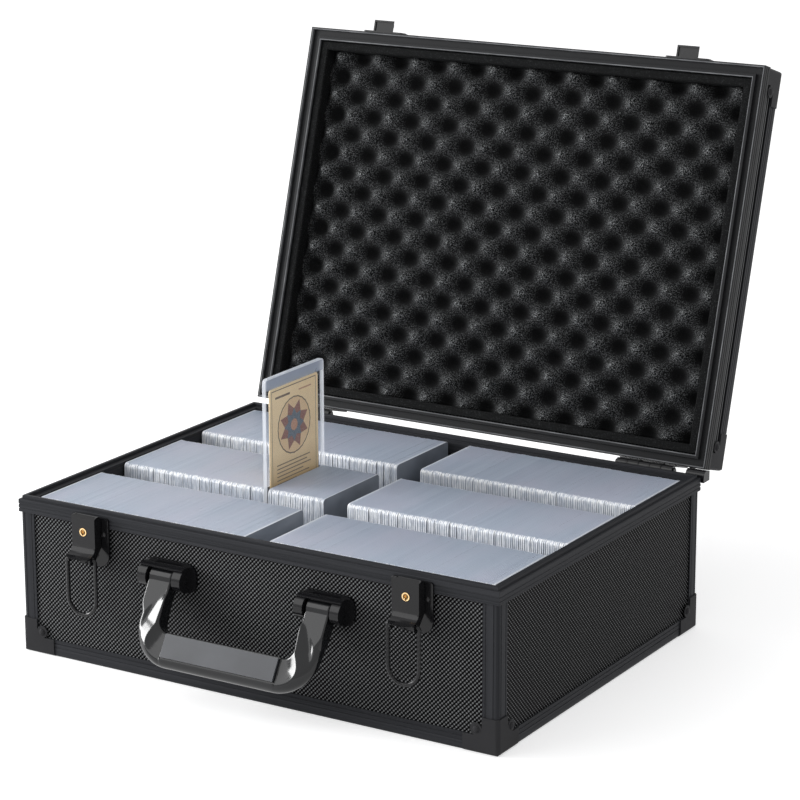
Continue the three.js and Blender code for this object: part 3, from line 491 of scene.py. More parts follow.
def lid_foam_material():
    """The lid's foam, with its speckles painted bright on the bumps as light and faint in the hollows as shade."""
    surface = Surface("lid_foam_cells", (0.02, 0.021, 0.022), 0.95, Specular_IOR_Level=0.05)
    at = surface.place(closed=True)
    face = lid_box("lid_foam")[0].z + BORDER_RISE
    depth = surface.parts(at)[2]
    # Painted light and shade: speckles are brightest on the bumps' tops and fade to near black down the hollows.
    hollow = surface.math("POWER", surface.spread(depth, face, face + BUMP_TALL * 0.7), 0.7)
    return foam_cells(surface, at, surface.mix(hollow, (0.37, 0.382, 0.392), (0.012, 0.0125, 0.013)))


def shaded_foam_border_material():
    """The flat edge of the lid's foam: the same foam, painted darker as shade, with fainter speckles."""
    surface = Surface("shaded_foam_edge", (0.012, 0.0125, 0.013), 0.9, Specular_IOR_Level=0.05)
    at = surface.place(closed=True)
    cells = surface.noise(at, *FOAM_CELLS)
    lit = surface.spread(cells, 0.55, 0.7)
    # Painted shade: darker colours than the bumps' stand for the shade along the lid's border.
    surface.tint(surface.mix(lit, (0.007, 0.0073, 0.0075), (0.05, 0.052, 0.054)))
    surface.bump(cells, 0.4 * mm, 0.6)
    return surface.material


def sleeve_material():
    """Clear sleeve edges packed tight: cool grey tops with faint streaks, and ribbed white ends painted as
    highlight, with painted shade between the walls.
    """
    surface = Surface("sleeve_edges", (0.47, 0.52, 0.6), 0.3, Specular_IOR_Level=0.5)
    at = surface.place()
    streaks = surface.noise(surface.stretched(at, 260, 3, 3), 1, 3, 0.6)
    broad = surface.noise(surface.stretched(at, 22, 9, 9), 1)
    top = surface.mix(surface.vary(streaks), (0.372, 0.43, 0.53), (0.45, 0.507, 0.605))
    top = surface.mix(surface.spread(broad, 0.42, 0.62), top, (0.45, 0.482, 0.583))
    whole = surface.add("ShaderNodeTexCoord").outputs["Generated"]
    along, across, up = surface.parts(whole)
    frayed = surface.noise(surface.stretched(at, 900, 500, 160), 1)
    patches = surface.noise(surface.stretched(at, 90, 90, 90), 1)
    wander = surface.math("MULTIPLY", surface.math("SUBTRACT", frayed, 0.5), 0.05)
    # Painted light: white ends as highlight, ribbed with painted shade between the walls; the pale fringe along
    # their tops and the pale first and last sleeves are painted highlight too.
    near_end = surface.spread(surface.math("ADD", surface.off(across, 0.5), wander), *END_SHARES)
    turn = surface.math("MULTIPLY", surface.parts(at)[0], 2 * math.pi / (SLEEVE_PITCH / 2))
    rib_light_and_shade = surface.math("COSINE", turn)
    rib_light_and_shade = surface.math("ADD", rib_light_and_shade, surface.vary(frayed, -0.9, 0.9))
    rib_light_and_shade = surface.math("ADD", rib_light_and_shade, surface.spread(patches, 0.4, 0.65, -0.4, 0.5))
    ends = surface.mix(surface.spread(rib_light_and_shade, -0.6, 1.2), (0.44, 0.485, 0.565), (0.86, 0.885, 0.92))
    upper = surface.spread(up, *FRINGE_SHARES)
    fringe_highlight = surface.mix(surface.spread(frayed, 0.4, 0.56), (0.56, 0.6, 0.68), (0.95, 0.96, 0.98))
    ends = surface.mix(surface.math("MULTIPLY", upper, 0.8), ends, fringe_highlight)
    last_sleeve_highlight = surface.spread(surface.off(along, 0.5), *LAST_SHARES, 0, 0.55)
    top = surface.mix(last_sleeve_highlight, top, (0.85, 0.88, 0.92))
    surface.tint(surface.mix(near_end, top, ends))
    surface.bump(streaks, 0.05 * mm, 0.5)
    return surface.material


def shaded_sleeve_face_material():
    """A sleeve's broad face, painted dark as the shade inside the packed row seen through it."""
    surface = Surface("shaded_sleeve_faces", (0.13, 0.145, 0.175), 0.18, Specular_IOR_Level=0.3)
    at = surface.place()
    broad = surface.noise(surface.stretched(at, 20, 25, 40), 1)
    # Painted shade: dark blue-greys for the shade inside the packed row.
    surface.tint(surface.mix(surface.vary(broad), (0.17, 0.19, 0.225), (0.28, 0.31, 0.36)))
    return surface.material


def clear_material():
    """Rigid clear plastic: see-through, hazier above the card, whiter along its thick rim, and pale towards
    grazing views as a painted sheen.
    """
    surface = Surface("sleeve_clear", (0.6, 0.65, 0.74), 0.08, IOR=1.45)
    at = surface.place()
    low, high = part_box("raised_sleeve")
    card_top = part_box("raised_card")[1].z
    parts = surface.parts(at)
    off_middle = surface.off(parts[1], (low.y + high.y) / 2)
    half = (high.y - low.y) / 2
    at_side = surface.spread(off_middle, half - CLEAR_RIM, half - CLEAR_RIM_PALE)
    at_top = surface.spread(parts[2], high.z - CLEAR_RIM, high.z - CLEAR_RIM_PALE)
    rim = surface.math("MAXIMUM", at_side, at_top)
    above = surface.spread(parts[2], card_top, card_top + HAZE_STEP, 0.006, 0.4)
    haze = surface.noise(at, 120, 3)
    body = surface.math("ADD", above, surface.vary(haze, 0, 0.012))
    # Painted sheen: the sleeve grows opaque and pale towards grazing views, standing in for its reflection.
    grazing_sheen = surface.add("ShaderNodeLayerWeight", {"Blend": 0.5}).outputs["Facing"]
    body = surface.math("MAXIMUM", body, surface.spread(grazing_sheen, 0.82, 1, 0, 0.8))
    surface.tint(surface.mix(rim, (0.5, 0.55, 0.64), (0.85, 0.88, 0.93)))
    opacity = surface.math("MAXIMUM", body, surface.math("MULTIPLY", rim, 0.6))
    surface.feed(surface.shader.inputs["Alpha"], opacity)
    surface.roughen(surface.vary(haze, 0.04, 0.12))
    return surface.material


def card_material():
    """Warm card stock, browner towards its foot."""
    surface = Surface("card_stock", (0.62, 0.45, 0.25), 0.5)
    at = surface.place()
    fibres = surface.noise(at, 900, 3)
    broad = surface.noise(at, 30)
    warm = surface.mix(surface.vary(broad), (0.9, 0.69, 0.43), (0.96, 0.77, 0.5))
    warm = surface.mix(surface.vary(fibres), warm, (0.94, 0.75, 0.48))
    low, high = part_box("raised_card")
    brown = [low.z + (high.z - low.z) * share for share in BROWN_SHARES]
    # The card turns darker and browner towards its foot.
    darker_towards_foot = surface.spread(surface.parts(at)[2], *brown, 0, 0.7)
    surface.tint(surface.mix(darker_towards_foot, warm, (0.5, 0.35, 0.17)))
    surface.bump(fibres, 0.01 * mm)
    return surface.material


def ink_material(name, color):
    """Printed ink, a little paler in its dots."""
    surface = Surface(name, color, 0.5)
    at = surface.place()
    dots = surface.noise(at, 1600)
    pale = [c + (1 - c) * 0.16 for c in color]
    surface.tint(surface.mix(surface.spread(dots, 0.35, 0.75), color, pale))
    return surface.material


extrusion = {
    False: extrusion_material("extrusion_satin"),
    True: extrusion_material("lid_extrusion_satin", closed=True),
}
post = extrusion_material("post_satin", upright=True)
rim = rim_material()
knurl = {
    (facing, closed): knurl_material(f"{'lid_' if closed else ''}knurl_{facing}", facing, closed)
    for facing in ("front", "side", "flat") for closed in (False, True)
}
hardware = hardware_material()
guard = guard_material()
moulded = moulded_material()
insert = insert_material()
foam = foam_material()
lid_foam = lid_foam_material()
shaded_lid_border = shaded_foam_border_material()
sleeve_edges = sleeve_material()
shaded_sleeve_faces = shaded_sleeve_face_material()
clear = clear_material()
card_stock = card_material()


def paint(obj, material):
    """Gives an object one material in place of its own."""
    obj.data.materials.clear()
    obj.data.materials.append(material)


def paint_frame():
    """Every node of the frame gets its finish from its material slot."""
    lid_nodes = set(frame["record"]["behaviour"]["bodies"]["lid"])
    plain = {"hardware": hardware, "moulding": moulded, "foam": foam, "card": card_stock}
    for part in frame["record"]["subparts"]:
        name, slot = part["node"], part["material_slot"]
        closed = name in lid_nodes
        if name == "lid_rim":
            material = rim
        elif slot == "extrusion":
            material = post if "post" in name else extrusion[closed]
        elif slot == "knurled_panel":
            facing = "front"
            if name in ("bottom_panel", "lid_cover"):
                facing = "flat"
            elif "left" in name or "right" in name:
                facing = "side"
            material = knurl[facing, closed]
        elif slot == "sleeve":
            material = clear
        elif slot == "brass":
            material = brass_material(name)
        elif "guard" in name:
            material = guard
        elif name == "handle_insert":
            material = insert
        else:
            material = plain[slot]
        paint(nodes[name], material)


# Meshes
def mesh_object(name, points, faces, *materials, smooth=False):
    """An object in the scene, from its points and faces."""
    mesh = bpy.data.meshes.new(name)
    mesh.from_pydata([tuple(p) for p in points], [], faces)
    mesh.validate()
    for material in materials:
        mesh.materials.append(material)
    mesh.polygons.foreach_set("use_smooth", [smooth] * len(mesh.polygons))
    obj = bpy.data.objects.new(name, mesh)
    bpy.context.scene.collection.objects.link(obj)
    return obj


def finish_piece(obj, body, slot, *replaced):
    """A piece's body, and the frame's nodes that it stands in for; its material slot is not used."""
    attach(obj, body)
    if replaced:
        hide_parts(*replaced)


def add_bevel(obj, width, angle):
    """A bevel on the edges that turn by more than an angle in degrees."""
    bevel = obj.modifiers.new("edges", "BEVEL")
    bevel.width = width
    bevel.segments = 2
    bevel.limit_method = "ANGLE"
    bevel.angle_limit = math.radians(angle)


def bevelled(obj, width):
    """Rounds an object's edges, with the modifier applied."""
    add_bevel(obj, width, PIECE_ANGLE)
    apply_modifiers(obj)
    for polygon in obj.data.polygons:
        polygon.use_smooth = True
    return obj


def apply_modifiers(obj):
    """Turns an object's mesh into what its modifiers make of it."""
    graph = bpy.context.evaluated_depsgraph_get()
    mesh = bpy.data.meshes.new_from_object(obj.evaluated_get(graph))
    obj.modifiers.clear()
    old = obj.data
    obj.data = mesh
    bpy.data.meshes.remove(old)


def ring(lists):
    """Side faces between successive closed loops of equal length, given as lists of point numbers."""
    faces = []
    for low, high in zip(lists, lists[1:]):
        count = len(low)
        faces += [
            (low[i], low[(i + 1) % count], high[(i + 1) % count], high[i]) for i in range(count)
        ]
    return faces


def cuboid(name, low, high, *materials):
    """A box between two corners."""
    corners = [
        (x, y, z) for z in (low[2], high[2]) for y in (low[1], high[1]) for x in (low[0], high[0])
    ]
    faces = [(0, 2, 3, 1), (4, 5, 7, 6), (0, 1, 5, 4), (2, 6, 7, 3), (0, 4, 6, 2), (1, 3, 7, 5)]
    return mesh_object(name, corners, faces, *materials)


def frame_ring(name, low, high, wide, radius, *materials):
    """A rectangular ring of flat strip with rounded edges, between two corners of its box."""
    shoulder = high.z - radius
    section = [
        (0, low.z), (0, shoulder), (radius, high.z), (wide - radius, high.z), (wide, shoulder), (wide, low.z)
    ]
    points, loops = [], []
    for inset, z in section:
        loops.append(list(range(len(points), len(points) + 4)))
        for x, y in ((0, 0), (1, 0), (1, 1), (0, 1)):
            points.append((
                low.x + inset + x * (high.x - low.x - 2 * inset),
                low.y + inset + y * (high.y - low.y - 2 * inset),
                z,
            ))
    loops.append(loops[0])
    return mesh_object(name, points, ring(loops), *materials)


# Foam
def foam_wave(x, y):
    """1 on a bump and -1 in a hollow."""
    return math.cos(math.pi * (x - BUMP_AT.x) / BUMP_X) * math.cos(math.pi * (y - BUMP_AT.y) / BUMP_Y)


def add_lid_foam():
    """Egg-crate foam: rounded bumps and deep hollows in a staggered grid, inside a flat border."""
    low, high = lid_box("lid_foam")
    inner_low = Vector((low.x + BORDER_WIDE, low.y + BORDER_WIDE, low.z))
    inner_high = Vector((high.x - BORDER_WIDE, high.y - BORDER_WIDE, high.z))
    size = inner_high - inner_low
    columns = round(size.x / FOAM_STEP)
    rows = round(size.y / FOAM_STEP)
    points = []
    for j in range(rows + 1):
        for i in range(columns + 1):
            x = inner_low.x + size.x * i / columns
            y = inner_low.y + size.y * j / rows
            depth = (1 - foam_wave(x, y)) / 2
            depth += BUMP_POINT * math.sin(math.pi * depth * 2)
            points.append((x, y, low.z + BORDER_RISE + BUMP_TALL * depth))
    wide = columns + 1
    faces = []
    for j in range(rows):
        for i in range(columns):
            a = j * wide + i
            faces.append((a, a + wide, a + wide + 1, a + 1))
    edge = list(range(wide))
    edge += [j * wide + columns for j in range(1, rows + 1)]
    edge += [rows * wide + i for i in range(columns - 1, -1, -1)]
    edge += [j * wide for j in range(rows - 1, 0, -1)]
    top = len(points)
    points += [(points[i][0], points[i][1], high.z) for i in edge]
    back = [top + i for i in range(len(edge))]
    faces += ring([edge, back])
    faces.append(tuple(back))
    bumps = mesh_object("lid_foam_bumps", points, faces, lid_foam, smooth=True)
    bumps.data.transform(opens)
    finish_piece(bumps, "lid", "foam", "lid_foam")
    # The border is made upside down and then mirrored, so that its rounded edges face into the case
    border = frame_ring(
        "lid_foam_border",
        Vector((low.x, low.y, -high.z)),
        Vector((high.x, high.y, -low.z)),
        BORDER_WIDE,
        BORDER_ROUND,
        shaded_lid_border,
    )
    border.data.transform(opens @ Matrix.Scale(-1, 4, Vector((0, 0, 1))))
    border.data.flip_normals()
    finish_piece(border, "lid", "foam")


def add_base_foam():
    """The tray's lining and floor, and the dividers between the rows."""
    low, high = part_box("foam_tray")
    dividers_low, dividers_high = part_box("foam_dividers")
    wall = dividers_low.x - low.x
    lining = frame_ring("foam_lining", low, high, wall - LINING_EASE, LINING_ROUND, foam)
    finish_piece(lining, "base", "foam", "foam_tray")
    floor = cuboid(
        "foam_floor",
        (low.x + wall, low.y + wall, low.z),
        (high.x - wall, high.y - wall, dividers_low.z - FLOOR_EASE),
        foam,
    )
    finish_piece(bevelled(floor, FLOOR_ROUND), "base", "foam")
    row_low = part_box("sleeve_row_middle_right")[0]
    front_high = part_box("sleeve_row_front_right")[1].y
    bar = row_low.y - front_high
    half_column = row_low.x
    middle_front = (row_low.y + front_high) / 2
    for name, middle in (("front", middle_front), ("rear", -middle_front)):
        for side, (left, right) in (
            ("left", (dividers_low.x, -half_column)), ("right", (half_column, dividers_high.x))
        ):
            piece = cuboid(
                f"foam_divider_{name}_{side}",
                (left, middle - bar / 2 + DIVIDER_EASE, dividers_low.z),
                (right, middle + bar / 2 - DIVIDER_EASE, dividers_high.z),
                foam,
            )
            finish_piece(bevelled(piece, DIVIDER_ROUND), "base", "foam")
    spine = cuboid(
        "foam_spine",
        (-half_column + DIVIDER_EASE, dividers_low.y, dividers_low.z),
        (half_column - DIVIDER_EASE, dividers_high.y, dividers_high.z),
        foam,
    )
    finish_piece(bevelled(spine, DIVIDER_ROUND), "base", "foam", "foam_dividers")


# Sleeves
def sleeve_outline(front, back, low, high, inset):
    """The outline of a sleeve's broad face in (y, z), with rounded corners, drawn in by an inset."""
    radius = SLEEVE_CORNER
    reach = radius - inset
    points = []
    corners = (
        (back - radius, low + radius, -90),
        (back - radius, high - radius, 0),
        (front + radius, high - radius, 90),
        (front + radius, low + radius, 180),
    )
    for y, z, start in corners:
        for i in range(CORNER_STEPS + 1):
            angle = math.radians(start + 90 * i / CORNER_STEPS)
            points.append((y + reach * math.cos(angle), z + reach * math.sin(angle)))
    return points


def add_sleeves(row):
    """A row of sleeves on edge, each of two thin walls, all a little out of line with each other."""
    low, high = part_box(row)
    count = max(1, round((high.x - low.x) / SLEEVE_PITCH))
    wall = (high.x - low.x) / count / 2
    half = (wall - WALL_GAP) / 2
    slack = SLEEVE_SHIFT + WALL_SHIFT
    layers = ((-half, WALL_BEVEL), (WALL_BEVEL - half, 0), (half - WALL_BEVEL, 0), (half, WALL_BEVEL))
    points, faces, broad = [], [], []
    for i in range(count):
        shift = rng.uniform(-1, 1) * SLEEVE_SHIFT
        drop = rng.uniform(0, 1) * SLEEVE_DROP
        for side in (0, 1):
            middle = low.x + wall * (2 * i + side + 0.5)
            own = shift + rng.uniform(-1, 1) * WALL_SHIFT
            top = high.z - drop - rng.uniform(0, 1) * WALL_DROP
            loops = []
            for offset, inset in layers:
                outline = sleeve_outline(low.y + slack + own, high.y - slack + own, low.z, top, inset)
                loops.append(list(range(len(points), len(points) + len(outline))))
                points += [(middle + offset, y, z) for y, z in outline]
            faces += ring(loops)
            broad += [len(faces), len(faces) + 1]
            faces += [tuple(reversed(loops[0])), tuple(loops[-1])]
    obj = mesh_object(f"{row}_sleeves", points, faces, sleeve_edges, shaded_sleeve_faces, smooth=True)
    # The broad faces take the painted shade.
    for index in broad:
        obj.data.polygons[index].material_index = 1
        obj.data.polygons[index].use_smooth = False
    finish_piece(obj, "base", "sleeve", row)


# Handle
pivot = Vector(next(j for j in frame["joints"] if j["name"] == "handle_pivot")["pos_m"])
handle_out = Vector((0, -math.cos(HANDLE_TILT), math.sin(HANDLE_TILT)))
handle_up = Vector((0, math.sin(HANDLE_TILT), math.cos(HANDLE_TILT)))


def on_handle(x, out, up):
    """A place on the handle, in the frame's own axes."""
    return pivot + Vector((x, 0, 0)) + handle_out * out + handle_up * up


def smooth_step(value):
    """From 0 to 1, slow at both ends."""
    value = min(1, max(0, value))
    return value * value * (3 - 2 * value)


def nearest(path, x, up):
    """Distance to a path, and on which side of it the point lies: positive is to its left."""
    best, side = None, 1
    for (ax, au), (bx, bu) in zip(path, path[1:]):
        dx, du = bx - ax, bu - au
        share = ((x - ax) * dx + (up - au) * du) / (dx * dx + du * du)
        share = min(1, max(0, share))
        px, pu = x - ax - share * dx, up - au - share * du
        distance = math.hypot(px, pu)
        if best is None or distance < best:
            best = distance
            side = 1 if dx * (up - au) - du * (x - ax) > 0 else -1
    return best, side


def smooth_path(knots, steps=6):
    """A smooth curve through knots in millimetres, as points in metres."""
    ends = [knots[0], *knots, knots[-1]]
    path = []
    for a, b, c, d in zip(ends, ends[1:], ends[2:], ends[3:]):
        for i in range(steps):
            t = i / steps
            path.append(tuple(
                mm * (b[k] + t * (c[k] - a[k]) / 2
                      + t**2 * (a[k] - 2.5 * b[k] + 2 * c[k] - 0.5 * d[k])
                      + t**3 * (1.5 * (b[k] - c[k]) + (d[k] - a[k]) / 2))
                for k in (0, 1)
            ))
    return path + [(knots[-1][0] * mm, knots[-1][1] * mm)]


ridge_path = smooth_path(RIDGE)
arm_end_path = smooth_path(ARM_END)


def arm_half(up):
    """Half the arm's thickness: round about the pivot, then even."""
    return math.sqrt(max(0, ARM_EYE**2 - up**2)) if up > ARM_START else ARM_HALF


def handle_rise(x, up):
    """How far the handle's front stands out at a place: flat arms, crescents round the bends, the grip."""
    x = abs(x)
    flat = arm_half(up)
    to_end, above = nearest(arm_end_path, x, up)
    if above > 0 and x > ARM_INNER - EDGE_ROUND:
        return flat
    to_ridge, outside = nearest(ridge_path, x, up)
    if outside > 0 and up < CRESCENT_START:
        rise = max(OUTER_RISE, RIDGE_RISE - OUTER_SLOPE * to_ridge)
        blend = smooth_step(to_end / ARM_BLEND)
        return flat + (rise - flat) * blend
    scoop = max(0, 1 - to_ridge / SCOOP_REACH) ** 2
    floor = GRIP_HALF - SCOOP_DEEP * smooth_step((x - INSERT_HALF + SCOOP_EASE) / SCOOP_EASE)
    return floor + (RIDGE_RISE - floor) * scoop


def rounded_off(rise, distance, radius):
    """The rise at a distance from an edge that is rounded to a radius."""
    if distance >= radius:
        return rise
    return rise - radius + math.sqrt(radius**2 - (radius - distance) ** 2)


def handle_sections():
    """Pairs of outer and inner points, in (x, up), from the left arm's top round to the right's."""
    outer_turn = (ARM_OUTER - GRIP_OUTER_ROUND, GRIP_LOW + GRIP_OUTER_ROUND)
    inner_turn = (ARM_INNER - GRIP_INNER_ROUND, GRIP_HIGH + GRIP_INNER_ROUND)
    left = []
    for up in EYE_HEIGHTS:
        left.append(((-ARM_OUTER, up * mm), (-ARM_INNER, up * mm)))
    for i in range(ARM_STEPS):
        share = i / ARM_STEPS
        left.append((
            (-ARM_OUTER, ARM_START + share * (outer_turn[1] - ARM_START)),
            (-ARM_INNER, ARM_START + share * (inner_turn[1] - ARM_START)),
        ))
    for i in range(TURN_STEPS + 1):
        angle = math.radians(180 + 90 * i / TURN_STEPS)
        left.append(tuple(
            (-turn[0] + radius * math.cos(angle), turn[1] + radius * math.sin(angle))
            for turn, radius in ((outer_turn, GRIP_OUTER_ROUND), (inner_turn, GRIP_INNER_ROUND))
        ))
    for i in range(1, GRIP_STEPS + 1):
        left_over = 1 - i / GRIP_STEPS
        left.append(((-outer_turn[0] * left_over, GRIP_LOW), (-inner_turn[0] * left_over, GRIP_HIGH)))
    right = [((-a[0], a[1]), (-b[0], b[1])) for a, b in reversed(left[:-1])]
    return left + right


def add_handle():
    """The moulded handle: a crescent round each bend, a pocket for its insert, a bore for its pins."""
    points, loops = [], []
    for outer, inner in handle_sections():
        wide = math.hypot(inner[0] - outer[0], inner[1] - outer[1])
        middle = (outer[1] + inner[1]) / 2
        grip = smooth_step((GRIP_HIGH + GRIP_BLEND_END - middle) / GRIP_BLEND + 1)
        outer_round = EDGE_ROUND + (GRIP_HALF - EDGE_ROUND) * grip
        front, back = [], []
        for k in range(SECTION_STEPS + 1):
            share = (1 - math.cos(math.pi * k / SECTION_STEPS)) / 2
            x = outer[0] + (inner[0] - outer[0]) * share
            up = outer[1] + (inner[1] - outer[1]) * share
            from_outer, from_inner = wide * share, wide * (1 - share)
            rise = handle_rise(x, up)
            rise = rounded_off(rise, from_outer, min(outer_round, rise))
            rise = rounded_off(rise, from_inner, min(EDGE_ROUND * (1 + grip), max(rise, LEAST_ROUND)))
            depth = arm_half(up) + (GRIP_HALF - ARM_HALF) * grip
            depth = rounded_off(depth, from_outer, min(outer_round, depth))
            depth = rounded_off(depth, from_inner, min(EDGE_ROUND * 2, max(depth, LEAST_ROUND)))
            front.append(on_handle(x, max(rise, LEAST_HALF), up))
            back.append(on_handle(x, -max(depth, LEAST_HALF), up))
        loop = front + back[::-1]
        loops.append(list(range(len(points), len(points) + len(loop))))
        points += loop
    faces = ring(loops)
    faces += [tuple(loops[0][::-1]), tuple(loops[-1])]
    body = mesh_object("handle_moulding", points, faces, moulded, smooth=True)
    pocket = oriented_box(
        "pocket", (-INSERT_HALF, INSERT_FLOOR, INSERT_LOW), (INSERT_HALF, GRIP_HALF * 2, INSERT_HIGH)
    )
    carve(body, pocket)
    carve(body, rod("bore", -ARM_OUTER - EDGE_ROUND, ARM_OUTER + EDGE_ROUND, PIN_BORE))
    finish_piece(body, "handle", "moulding", "handle")


def oriented_box(name, low, high):
    """A box in the handle's own plane."""
    box = cuboid(name, low, high)
    for vertex in box.data.vertices:
        x, out, up = vertex.co
        vertex.co = on_handle(x, out, up)
    return box


def rod(name, left, right, radius, sides=24):
    """A cylinder along the handle's pivot."""
    points = []
    for x in (left, right):
        for i in range(sides):
            angle = 2 * math.pi * i / sides
            points.append(on_handle(x, radius * math.cos(angle), radius * math.sin(angle)))
    near, far = list(range(sides)), list(range(sides, sides * 2))
    return mesh_object(name, points, ring([near, far]) + [tuple(near[::-1]), tuple(far)])


def outward(obj):
    """Turns an object's faces outwards."""
    shape = bmesh.new()
    shape.from_mesh(obj.data)
    bmesh.ops.recalc_face_normals(shape, faces=shape.faces)
    shape.to_mesh(obj.data)
    shape.free()


def carve(obj, tool):
    """Cuts a tool's shape out of an object, and drops the tool."""
    outward(obj)
    outward(tool)
    modifier = obj.modifiers.new("cut", "BOOLEAN")
    modifier.operation = "DIFFERENCE"
    modifier.solver = "EXACT"
    modifier.object = tool
    apply_modifiers(obj)
    bpy.data.objects.remove(tool)


# The raised card's print
def add_card_print():
    """Bars, a border, rings and an eight-pointed rosette, on both of the card's faces."""
    low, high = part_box("raised_card")
    middle_y, tall = (low.y + high.y) / 2, high.z - low.z
    wide = high.y - low.y
    inks = {name: ink_material(f"ink_{name}", color) for name, color in INKS.items()}
    points, faces, ink = [], [], []

    def put(outline, which, layer=0):
        """Adds one flat shape to both faces, given in shares of the card's width and height."""
        out = PRINT_LIFT * (1 + layer / 2)
        for face, sign in ((high.x + out, 1), (low.x - out, -1)):
            start = len(points)
            for u, v in outline:
                points.append((face, middle_y + sign * (u - 0.5) * wide, low.z + v * tall))
            faces.append(tuple(range(start, len(points))))
            ink.append(list(inks).index(which))

    def bar(u, v, long, thick, which):
        put([(u, v), (u + long, v), (u + long, v + thick), (u, v + thick)], which)

    def star(outer, inner, count, turn, which, layer):
        u, v = ROSETTE_SHARES
        outline = []
        for i in range(count * 2):
            reach = outer if i % 2 == 0 else inner
            angle = math.pi * i / count + math.radians(turn)
            outline.append((u + reach * math.cos(angle), v + reach * math.sin(angle) * wide / tall))
        put(outline, which, layer)

    edge_up = BORDER_SHARE * wide / tall
    for v in (edge_up, 1 - edge_up):
        bar(BORDER_SHARE, v, 1 - 2 * BORDER_SHARE, LINE_SHARE, "line")
    for u in (BORDER_SHARE, 1 - BORDER_SHARE - LINE_SHARE):
        bar(u, edge_up, LINE_SHARE, 1 - 2 * edge_up, "line")
    for shares in BAR_SHARES:
        bar(*shares)
    for i, long in enumerate(TEXT_SHARES):
        bar(TEXT_LEFT_SHARE, TEXT_HIGH_SHARE - i * TEXT_STEP_SHARE, long, TEXT_LINE_SHARE, "line")
    for layer, shares in enumerate(LAYER_SHARES):
        star(*shares, layer)
    obj = mesh_object("card_print", points, faces, *inks.values())
    for polygon, which in zip(obj.data.polygons, ink):
        polygon.material_index = which
    outward_x(obj, (low.x + high.x) / 2)
    finish_piece(obj, "raised_card", "card")


def outward_x(obj, middle):
    """Turns flat faces away from the plane between them."""
    for polygon in obj.data.polygons:
        if polygon.normal.x * (polygon.center.x - middle) < 0:
            polygon.flip()


# Metal and moulded nodes with their edges rounded off
def rounded_copy(node, body, slot, width, material):
    """A copy that stands in for a node, with its triangles joined and its edges rounded."""
    shape = bmesh.new()
    shape.from_mesh(nodes[node].data)
    bmesh.ops.remove_doubles(shape, verts=shape.verts, dist=MERGE_REACH)
    flat = math.radians(FLAT_ANGLE)
    bmesh.ops.join_triangles(
        shape, faces=shape.faces, angle_face_threshold=flat, angle_shape_threshold=math.pi
    )
    mesh = bpy.data.meshes.new(f"{node}_finish")
    shape.to_mesh(mesh)
    shape.free()
    mesh.materials.append(material)
    obj = bpy.data.objects.new(f"{node}_finish", mesh)
    bpy.context.scene.collection.objects.link(obj)
    add_bevel(obj, width, NODE_ANGLE)
    for polygon in mesh.polygons:
        polygon.use_smooth = True
    weighted = obj.modifiers.new("normals", "WEIGHTED_NORMAL")
    weighted.keep_sharp = False
    apply_modifiers(obj)
    finish_piece(obj, body, slot, node)


def round_nodes():
    """Hardware, brass and extrusion nodes and the handle's insert get copies with soft edges."""
    bodies = frame["record"]["behaviour"]["bodies"]
    for part in frame["record"]["subparts"]:
        node, slot = part["node"], part["material_slot"]
        if slot in EDGE_WIDTHS:
            body = next(name for name, held in bodies.items() if node in held)
            rounded_copy(node, body, slot, EDGE_WIDTHS[slot], nodes[node].data.materials[0])
    rounded_copy("handle_insert", "handle", "moulding", INSERT_EDGE, insert)


# Lights, floor and camera
def area_light(name, place, target, wide, tall, power):
    """A rectangular lamp, its sides in metres and its power in watts."""
    data = bpy.data.lights.new(name, "AREA")
    data.shape = "RECTANGLE"
    data.size, data.size_y, data.energy = wide, tall, power
    obj = bpy.data.objects.new(name, data)
    obj.location = place
    aim = Vector(target) - Vector(place)
    obj.rotation_euler = aim.to_track_quat("-Z", "Y").to_euler()
    bpy.context.scene.collection.objects.link(obj)


def shown_rays(tree):
    """1 for camera, glossy and transmission rays, 0 for the rest."""
    path = tree.nodes.new("ShaderNodeLightPath")
    seen = path.outputs["Is Camera Ray"]
    for kind in ("Is Glossy Ray", "Is Transmission Ray"):
        either = tree.nodes.new("ShaderNodeMath")
        either.operation = "MAXIMUM"
        tree.links.new(seen, either.inputs[0])
        tree.links.new(path.outputs[kind], either.inputs[1])
        seen = either.outputs[0]
    return seen


def add_world():
    """Soft light all round, a little stronger from the right, where no lamp is, and a white background."""
    world = bpy.data.worlds.new("studio")
    bpy.context.scene.world = world
    world.use_nodes = True
    tree = world.node_tree
    background = tree.nodes["Background"]
    direction = tree.nodes.new("ShaderNodeTexCoord")
    parts = tree.nodes.new("ShaderNodeSeparateXYZ")
    tree.links.new(direction.outputs["Generated"], parts.inputs[0])
    fill = tree.nodes.new("ShaderNodeMapRange")
    tree.links.new(parts.outputs[0], fill.inputs["Value"])
    for end, (place, strength) in (("Min", FILL_RIGHT), ("Max", FILL_LEFT)):
        fill.inputs[f"From {end}"].default_value = place
        fill.inputs[f"To {end}"].default_value = strength
    level = tree.nodes.new("ShaderNodeMix")
    tree.links.new(shown_rays(tree), level.inputs[0])
    tree.links.new(fill.outputs[0], level.inputs[2])
    level.inputs[3].default_value = BACKGROUND
    tree.links.new(level.outputs[0], background.inputs["Strength"])
    background.inputs["Color"].default_value = (1, 1, 1, 1)


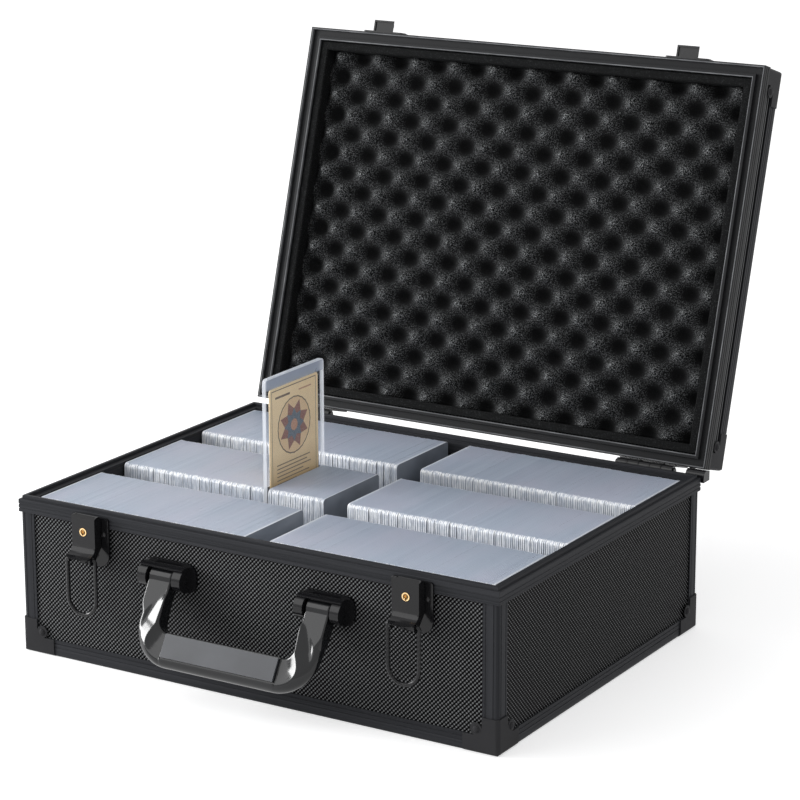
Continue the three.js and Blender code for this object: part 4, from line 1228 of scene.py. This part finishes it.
def add_floor():
    """White paper: what the camera sees of it is lifted towards white, with its shadows kept."""
    surface = Surface("floor_paper", (0.75, 0.75, 0.75), 0.7, Specular_IOR_Level=0.05)
    at = surface.place()
    surface.tint(surface.mix(surface.noise(at, 3), (0.745, 0.745, 0.75), (0.755, 0.755, 0.76)))
    surface.set("Emission Color", (1, 1, 1, 1))
    lift = surface.math("MULTIPLY", shown_rays(surface.tree), FLOOR_GLOW)
    surface.feed(surface.shader.inputs["Emission Strength"], lift)
    corners = [(x * FLOOR_HALF, y * FLOOR_HALF, 0) for x, y in ((-1, -1), (1, -1), (1, 1), (-1, 1))]
    floor = mesh_object("floor", corners, [(0, 1, 2, 3)], surface.material)


def add_camera():
    """The photograph's camera, by its place, its direction and its lens."""
    data = bpy.data.cameras.new("camera")
    data.lens = FOCAL_PIXELS * data.sensor_width / FRAME_PIXELS
    camera = bpy.data.objects.new("camera", data)
    back = Vector((
        math.sin(AZIMUTH) * math.cos(ELEVATION),
        -math.cos(AZIMUTH) * math.cos(ELEVATION),
        math.sin(ELEVATION),
    ))
    level = Vector((math.cos(AZIMUTH), math.sin(AZIMUTH), 0))
    above = back.cross(level)
    right = level * math.cos(ROLL) + above * math.sin(ROLL)
    up = above * math.cos(ROLL) - level * math.sin(ROLL)
    turn = Matrix((right, up, back)).transposed().to_4x4()
    camera.matrix_world = Matrix.Translation(CAMERA_PLACE) @ turn
    bpy.context.scene.collection.objects.link(camera)
    bpy.context.scene.camera = camera


# The scene
bpy.context.scene.view_settings.view_transform = "Standard"
add_camera()
add_world()
add_floor()
area_light("key", place=(-1.75, -1.75, 1.9), target=(0, 0, 0.15), wide=2, tall=2, power=25)
area_light("strip", place=(-2.03, -0.95, 0.62), target=(0, 0, 0.1), wide=0.9, tall=0.8, power=48)

paint_frame()
add_lid_foam()
add_base_foam()
add_handle()
add_card_print()
round_nodes()
for place in (
    "front_left", "front_right", "middle_left_outer", "middle_left_inner", "middle_right",
    "rear_left", "rear_right",
):
    add_sleeves(f"sleeve_row_{place}")
